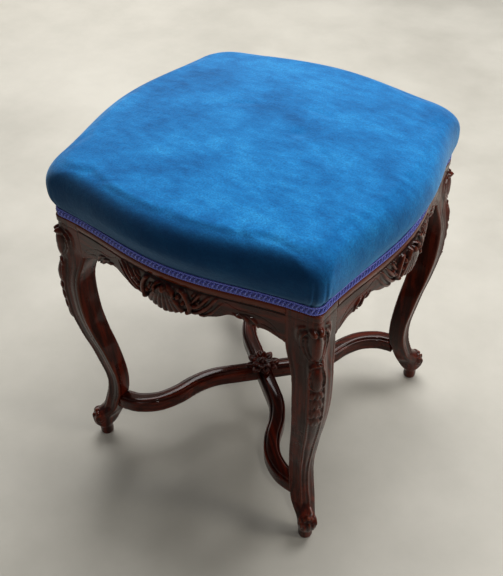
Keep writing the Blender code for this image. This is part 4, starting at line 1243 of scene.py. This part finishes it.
def inflate(cover):
    """Lets the stuffing push the cloth out, with the tacked edge held, by at most MOST_SWELL."""
    before = points_of(cover)
    group = cover.vertex_groups.new(name="tacked")
    tacked = [i for i, point in enumerate(before) if point[2] < VELVET_FREE_Z + 0.001]
    group.add(tacked, 1.0, "REPLACE")
    modifier = cover.modifiers.new("stuffing", "CLOTH")
    settings = modifier.settings
    settings.quality = 5
    settings.mass = 0.35
    settings.tension_stiffness = settings.compression_stiffness = 25
    settings.bending_stiffness = 1.2
    settings.use_pressure = True
    settings.uniform_pressure_force = 4
    settings.vertex_group_mass = "tacked"
    settings.effector_weights.gravity = 0
    modifier.collision_settings.use_collision = False
    modifier.collision_settings.use_self_collision = False
    modifier.point_cache.frame_start = 1
    modifier.point_cache.frame_end = SETTLE_FRAMES
    scene = bpy.context.scene
    for number in range(1, SETTLE_FRAMES + 1):
        scene.frame_set(number)
    only(cover)
    bpy.ops.object.modifier_apply(modifier="stuffing")
    scene.frame_set(1)
    moved = points_of(cover) - before
    set_points(cover, before)
    normals = normals_of(cover)
    # Only the swelling is kept, because the stuffing would stop the cloth from drawing in.
    outwards = (moved * normals).sum(1)
    swollen = (outwards + np.sqrt(outwards**2 + SWELL_EASE**2) - SWELL_EASE) / 2
    set_points(cover, before + normals * np.clip(swollen, 0, MOST_SWELL)[:, None])


def fold_velvet(cover):
    """Small pleats over each corner, a dimple and a few soft creases left by use."""
    points = points_of(cover)
    x, y, z = points.T
    diagonal = (np.abs(x) + np.abs(y)) / ROOT_TWO
    corner = np.abs(np.abs(x) - np.abs(y)) / ROOT_TWO
    low = np.clip((z - 0.474) / 0.010, 0, 1) * np.clip((0.530 - z) / 0.040, 0, 1)
    pleat = sum(depth * np.exp(-(((corner - off) / width) ** 2)) for depth, off, width in CORNER_PLEATS)
    inward = low * pleat * (diagonal > 0.25)
    points[:, 0] -= np.sign(x) * inward / ROOT_TWO
    points[:, 1] -= np.sign(y) * inward / ROOT_TWO
    top = np.clip((z - 0.545) / 0.01, 0, 1)
    away = (x - TOP_DIMPLE[0]) ** 2 + (y - TOP_DIMPLE[1]) ** 2
    drop = DIMPLE_DEPTH * np.exp(-(away / DIMPLE_RADIUS**2))
    for (x0, y0), (x1, y1), depth in TOP_CREASES:
        length = math.hypot(x1 - x0, y1 - y0)
        run = ((x - x0) * (x1 - x0) + (y - y0) * (y1 - y0)) / length**2
        off = ((x - x0) * (y1 - y0) - (y - y0) * (x1 - x0)) / length
        drop += depth * np.exp(-((off / 0.006) ** 2)) * np.exp(-(((run - 0.5) / 0.45) ** 4))
    points[:, 2] -= drop * top
    set_points(cover, points)


# ---------------------------------------------------------------- gimp braid

CORD_RADIUS = 0.0010
EDGE_CORD_OFF = 0.0049
SCROLL_HALF_WIDTH = 0.0031
SAMPLES_PER_SCROLL = 8
STRIP_SAMPLES_PER_SCROLL = 3
# Ply: how far the diagonal lines turn from one ring to the next, and from point to point.
CORD_PLY, STRIP_PLY, PLY_ROUND = 1.9, 2.6, 1.25


def braid_cord(points, normals, samples, out, height, radius, sides=5):
    """Rings of one cord that follows the frame. out and height are offsets at each sample."""
    count = len(points)
    place = np.arange(samples) / samples * count
    low = np.floor(place).astype(int)
    part = (place - low)[:, None]
    plan = points[low % count] * (1 - part) + points[(low + 1) % count] * part
    facing = normals[low % count] * (1 - part) + normals[(low + 1) % count] * part
    facing /= np.linalg.norm(facing, axis=1)[:, None]
    centre = np.concatenate([plan + facing * out[:, None], height[:, None]], 1)
    ahead = np.roll(centre, -1, 0) - np.roll(centre, 1, 0)
    ahead /= np.linalg.norm(ahead, axis=1)[:, None]
    outward = np.concatenate([facing, np.zeros((samples, 1))], 1)
    outward -= ahead * (outward * ahead).sum(1)[:, None]
    outward /= np.linalg.norm(outward, axis=1)[:, None]
    upward = np.cross(ahead, outward)
    turn = np.linspace(0, math.tau, sides, endpoint=False)
    around = outward[:, None] * np.cos(turn)[None, :, None] + upward[:, None] * np.sin(turn)[None, :, None]
    return centre[:, None] + radius * around


def make_gimp(light_cord, dark_cord):
    """Two edge cords, two interlaced scroll cords and the woven strip behind them."""
    points, normals = outline(160, 12)
    steps = np.linalg.norm(np.roll(points, -1, 0) - points, axis=1)
    # Equal steps along the frame, so that every scroll is the same size.
    place = np.concatenate([[0], np.cumsum(steps)])
    repeats = round(place[-1] / GIMP_PITCH)
    even = np.linspace(0, place[-1], 1400, endpoint=False)
    closed_points = np.concatenate([points, points[:1]])
    closed_normals = np.concatenate([normals, normals[:1]])
    points = np.stack([np.interp(even, place, closed_points[:, k]) for k in (0, 1)], 1)
    normals = np.stack([np.interp(even, place, closed_normals[:, k]) for k in (0, 1)], 1)
    middle = sum(GIMP_Z) / 2
    cords = []
    samples = repeats * SAMPLES_PER_SCROLL
    phase = np.arange(samples) / samples * math.tau * repeats
    for sign in (-1, 1):
        height = middle + sign * (EDGE_CORD_OFF + 0.0004 * np.sin(phase * 2))
        out = np.full(samples, 0.0002)
        cords.append(("edge", braid_cord(points, normals, samples, out, height, CORD_RADIUS)))
        height = middle + sign * SCROLL_HALF_WIDTH * np.sin(phase)
        out = 0.0006 + 0.0006 * sign * np.cos(phase)
        cords.append(("scroll", braid_cord(points, normals, samples, out, height, CORD_RADIUS)))
    strip = []
    base = repeats * STRIP_SAMPLES_PER_SCROLL
    low, high = GIMP_Z
    section = ((-0.0012, low), (-0.0001, low), (0.0001, middle), (-0.0001, high), (-0.0012, high))
    for out, height in section:
        ring = braid_cord(points, normals, base, np.full(base, out), np.full(base, height), 0.0, 3)[:, 0]
        strip.append(ring)
    cords.append(("strip", np.stack(strip, 1)))
    made = []
    for number, (kind, rings) in enumerate(cords):
        cord = skin(f"cord_{number}", rings, closed=True)
        step = STRIP_PLY if kind == "strip" else CORD_PLY
        rows, count = rings.shape[:2]
        write_attribute(cord, "ply", np.arange(rows)[:, None] * step + np.arange(count) * PLY_ROUND)
        cord.data.materials.append(light_cord)
        cord.data.materials.append(dark_cord)
        for polygon in cord.data.polygons:
            polygon.material_index = 1 if kind == "strip" or number == 1 else 0
        smooth_faces(cord)
        made.append(cord)
    gimp = join(made[0], made[1:])
    gimp.name = "woven_gimp"
    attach(gimp, "root")
    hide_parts("gimp_braid")


# ---------------------------------------------------------------- soft layers and fittings


def merged_copy(node, name):
    """A copy of a node's solid with its loose triangles merged."""
    copy = add_object(name, NODES[node].data.copy())
    only(copy)
    bpy.ops.object.mode_set(mode="EDIT")
    bpy.ops.mesh.select_all(action="SELECT")
    bpy.ops.mesh.remove_doubles(threshold=0.00001)
    bpy.ops.object.mode_set(mode="OBJECT")
    point_outwards(copy)
    return copy


def fine_copy(node, name):
    copy = merged_copy(node, name)
    apply_modifier(copy, "fine", "SUBSURF", levels=1, render_levels=1, subdivision_type="SIMPLE")
    return copy


def roughen(obj, size, depth):
    """Uneven surface of loose fibre, inwards only, so that it stays in its place."""
    points = points_of(obj)
    x, y, z = (points / size).T
    waves = np.sin(x + 1.7 * np.sin(y * 0.9)) * np.sin(y * 1.1 + 1.3 * np.sin(x * 0.8)) * np.cos(z * 0.7)
    set_points(obj, points - normals_of(obj) * (depth * (waves[:, None] + 1) / 2))


def sink(obj):
    """Lowers the top of a layer, so that the dimple and creases above it have room."""
    points = points_of(obj)
    points[:, 2] -= DIMPLE_DEPTH * np.clip((points[:, 2] - 0.530) / 0.020, 0, 1)
    set_points(obj, points)


def make_soft_layers(materials):
    stuffing = fine_copy("stuffing_pad", "hair_stuffing")
    sink(stuffing)
    roughen(stuffing, 0.009, 0.0009)
    place_piece(stuffing, materials["horsehair"], "horsehair", "stuffing_pad")
    wadding = fine_copy("wadding", "wadding_layer")
    sink(wadding)
    roughen(wadding, 0.013, 0.0005)
    place_piece(wadding, materials["cotton_wadding"], "cotton_wadding", "wadding")
    hessian = fine_copy("spring_hessian", "hessian_sheet")
    place_piece(hessian, materials["hessian"], "hessian", "spring_hessian")
    for obj in (stuffing, wadding, hessian):
        smooth_faces(obj)


# Dust cover: height of its edge, how far its middle sags, points on a side and on each
# edge of the notch at a leg.
DUST_Z = 0.4308
DUST_SAG = 0.0016
DUST_SIDE_POINTS = 41
DUST_NOTCH_POINTS = 9


def make_dust_cover(cambric):
    """Cambric stretched under the frame and cut round the legs, with a folded hem."""
    edge = BLOCK_INNER - 0.0010
    along = np.linspace(-edge, edge, DUST_SIDE_POINTS)
    side = np.stack([side_distance(along) - APRON_THICKNESS - 0.001, along], 1)
    reach = side[-1, 0]
    inwards = np.linspace(reach, edge, DUST_NOTCH_POINTS)[1:]
    outwards = np.linspace(edge, reach, DUST_NOTCH_POINTS)[1:-1]
    side = np.concatenate([
        side,
        np.stack([inwards, np.full(len(inwards), edge)], 1),
        np.stack([np.full(len(outwards), edge), outwards], 1),
    ])
    plan = all_round(side)
    shares = np.concatenate([[1.0, 0.985, 0.955, 0.945], np.linspace(0.92, 0.04, 26)])
    count = len(plan)
    rings = []
    for share in shares:
        hem = 0.00025 if share > 0.95 else 0.0
        sag = DUST_SAG * (1 - share**2)
        z = DUST_Z + 0.0003 - hem - sag
        pucker = 0.0002 * np.sin(np.arange(count) * 1.9) * math.exp(-(((share - 0.93) / 0.05) ** 2))
        rings.append(np.concatenate([plan * share, (z + pucker)[:, None]], 1))
    rings.append(np.concatenate([plan * 0.012, np.full((count, 1), rings[-1][:, 2].mean())], 1))
    rings = np.array(rings)
    sheet = skin("dust_sheet", rings, caps=False)
    apply_modifier(sheet, "close", "WELD", merge_threshold=1e-6)
    mesh = bmesh.new()
    mesh.from_mesh(sheet.data)
    mesh.verts.ensure_lookup_table()
    inner = [edge for edge in mesh.edges if edge.is_boundary and edge.verts[0].co.xy.length < 0.02]
    bmesh.ops.edgeloop_fill(mesh, edges=inner)
    mesh.to_mesh(sheet.data)
    mesh.free()
    point_outwards(sheet)
    apply_modifier(sheet, "cloth", "SOLIDIFY", thickness=0.0005, offset=0, use_rim=True)
    smooth_faces(sheet, 60)
    place_piece(sheet, cambric, "black_cambric", "dust_cover")


def dress_fittings(materials):
    """Gives the carried-over solids their finishes."""
    families = (
        ("webbing_tack_", "blued_steel"), ("webbing_", "jute_webbing"), ("spring_hessian", None),
        ("spring_", "spring_steel"), ("screw_", "spring_steel"), ("corner_block_", "raw_beech"),
        ("stretcher_dowel", "raw_beech"),
    )
    for name, obj in NODES.items():
        for prefix, material in families:
            if name.startswith(prefix):
                if material:
                    obj.data.materials.clear()
                    obj.data.materials.append(materials[material])
                break


make_camera()
make_floor()
make_lights()
MATERIALS = {
    "raw_beech": make_raw_beech(),
    "jute_webbing": make_woven("jute_webbing", "#6b5232", "#b1915f", 0.0016),
    "hessian": make_woven("hessian", "#5d472b", "#a98a58", 0.0014),
    "horsehair": make_fibre("horsehair", "#120d0a", "#3b2d24", 0.002, 0.0006),
    "cotton_wadding": make_fibre("cotton_wadding", "#cfc8b8", "#f0ebde", 0.006, 0.0006),
    "black_cambric": make_woven("black_cambric", "#0b0b0c", "#1f1f21", 0.0009),
    "spring_steel": make_steel("spring_steel", "#6f6a64", "#a5a19a", (0.28, 0.5)),
    "blued_steel": make_steel("blued_steel", "#1d2027", "#3a3f4a", (0.25, 0.42)),
}
WALNUT = make_polished_walnut()
make_legs(WALNUT)
make_rails(WALNUT)
make_arms(WALNUT)
make_rosette(WALNUT)
make_velvet(make_blue_velvet())
make_gimp(
    make_rayon_gimp("violet_gimp", "#8d97e8", "#3340b8"),
    make_rayon_gimp("violet_gimp_dark", "#2a35a0", "#101560"),
)
make_soft_layers(MATERIALS)
make_dust_cover(MATERIALS["black_cambric"])
dress_fittings(MATERIALS)
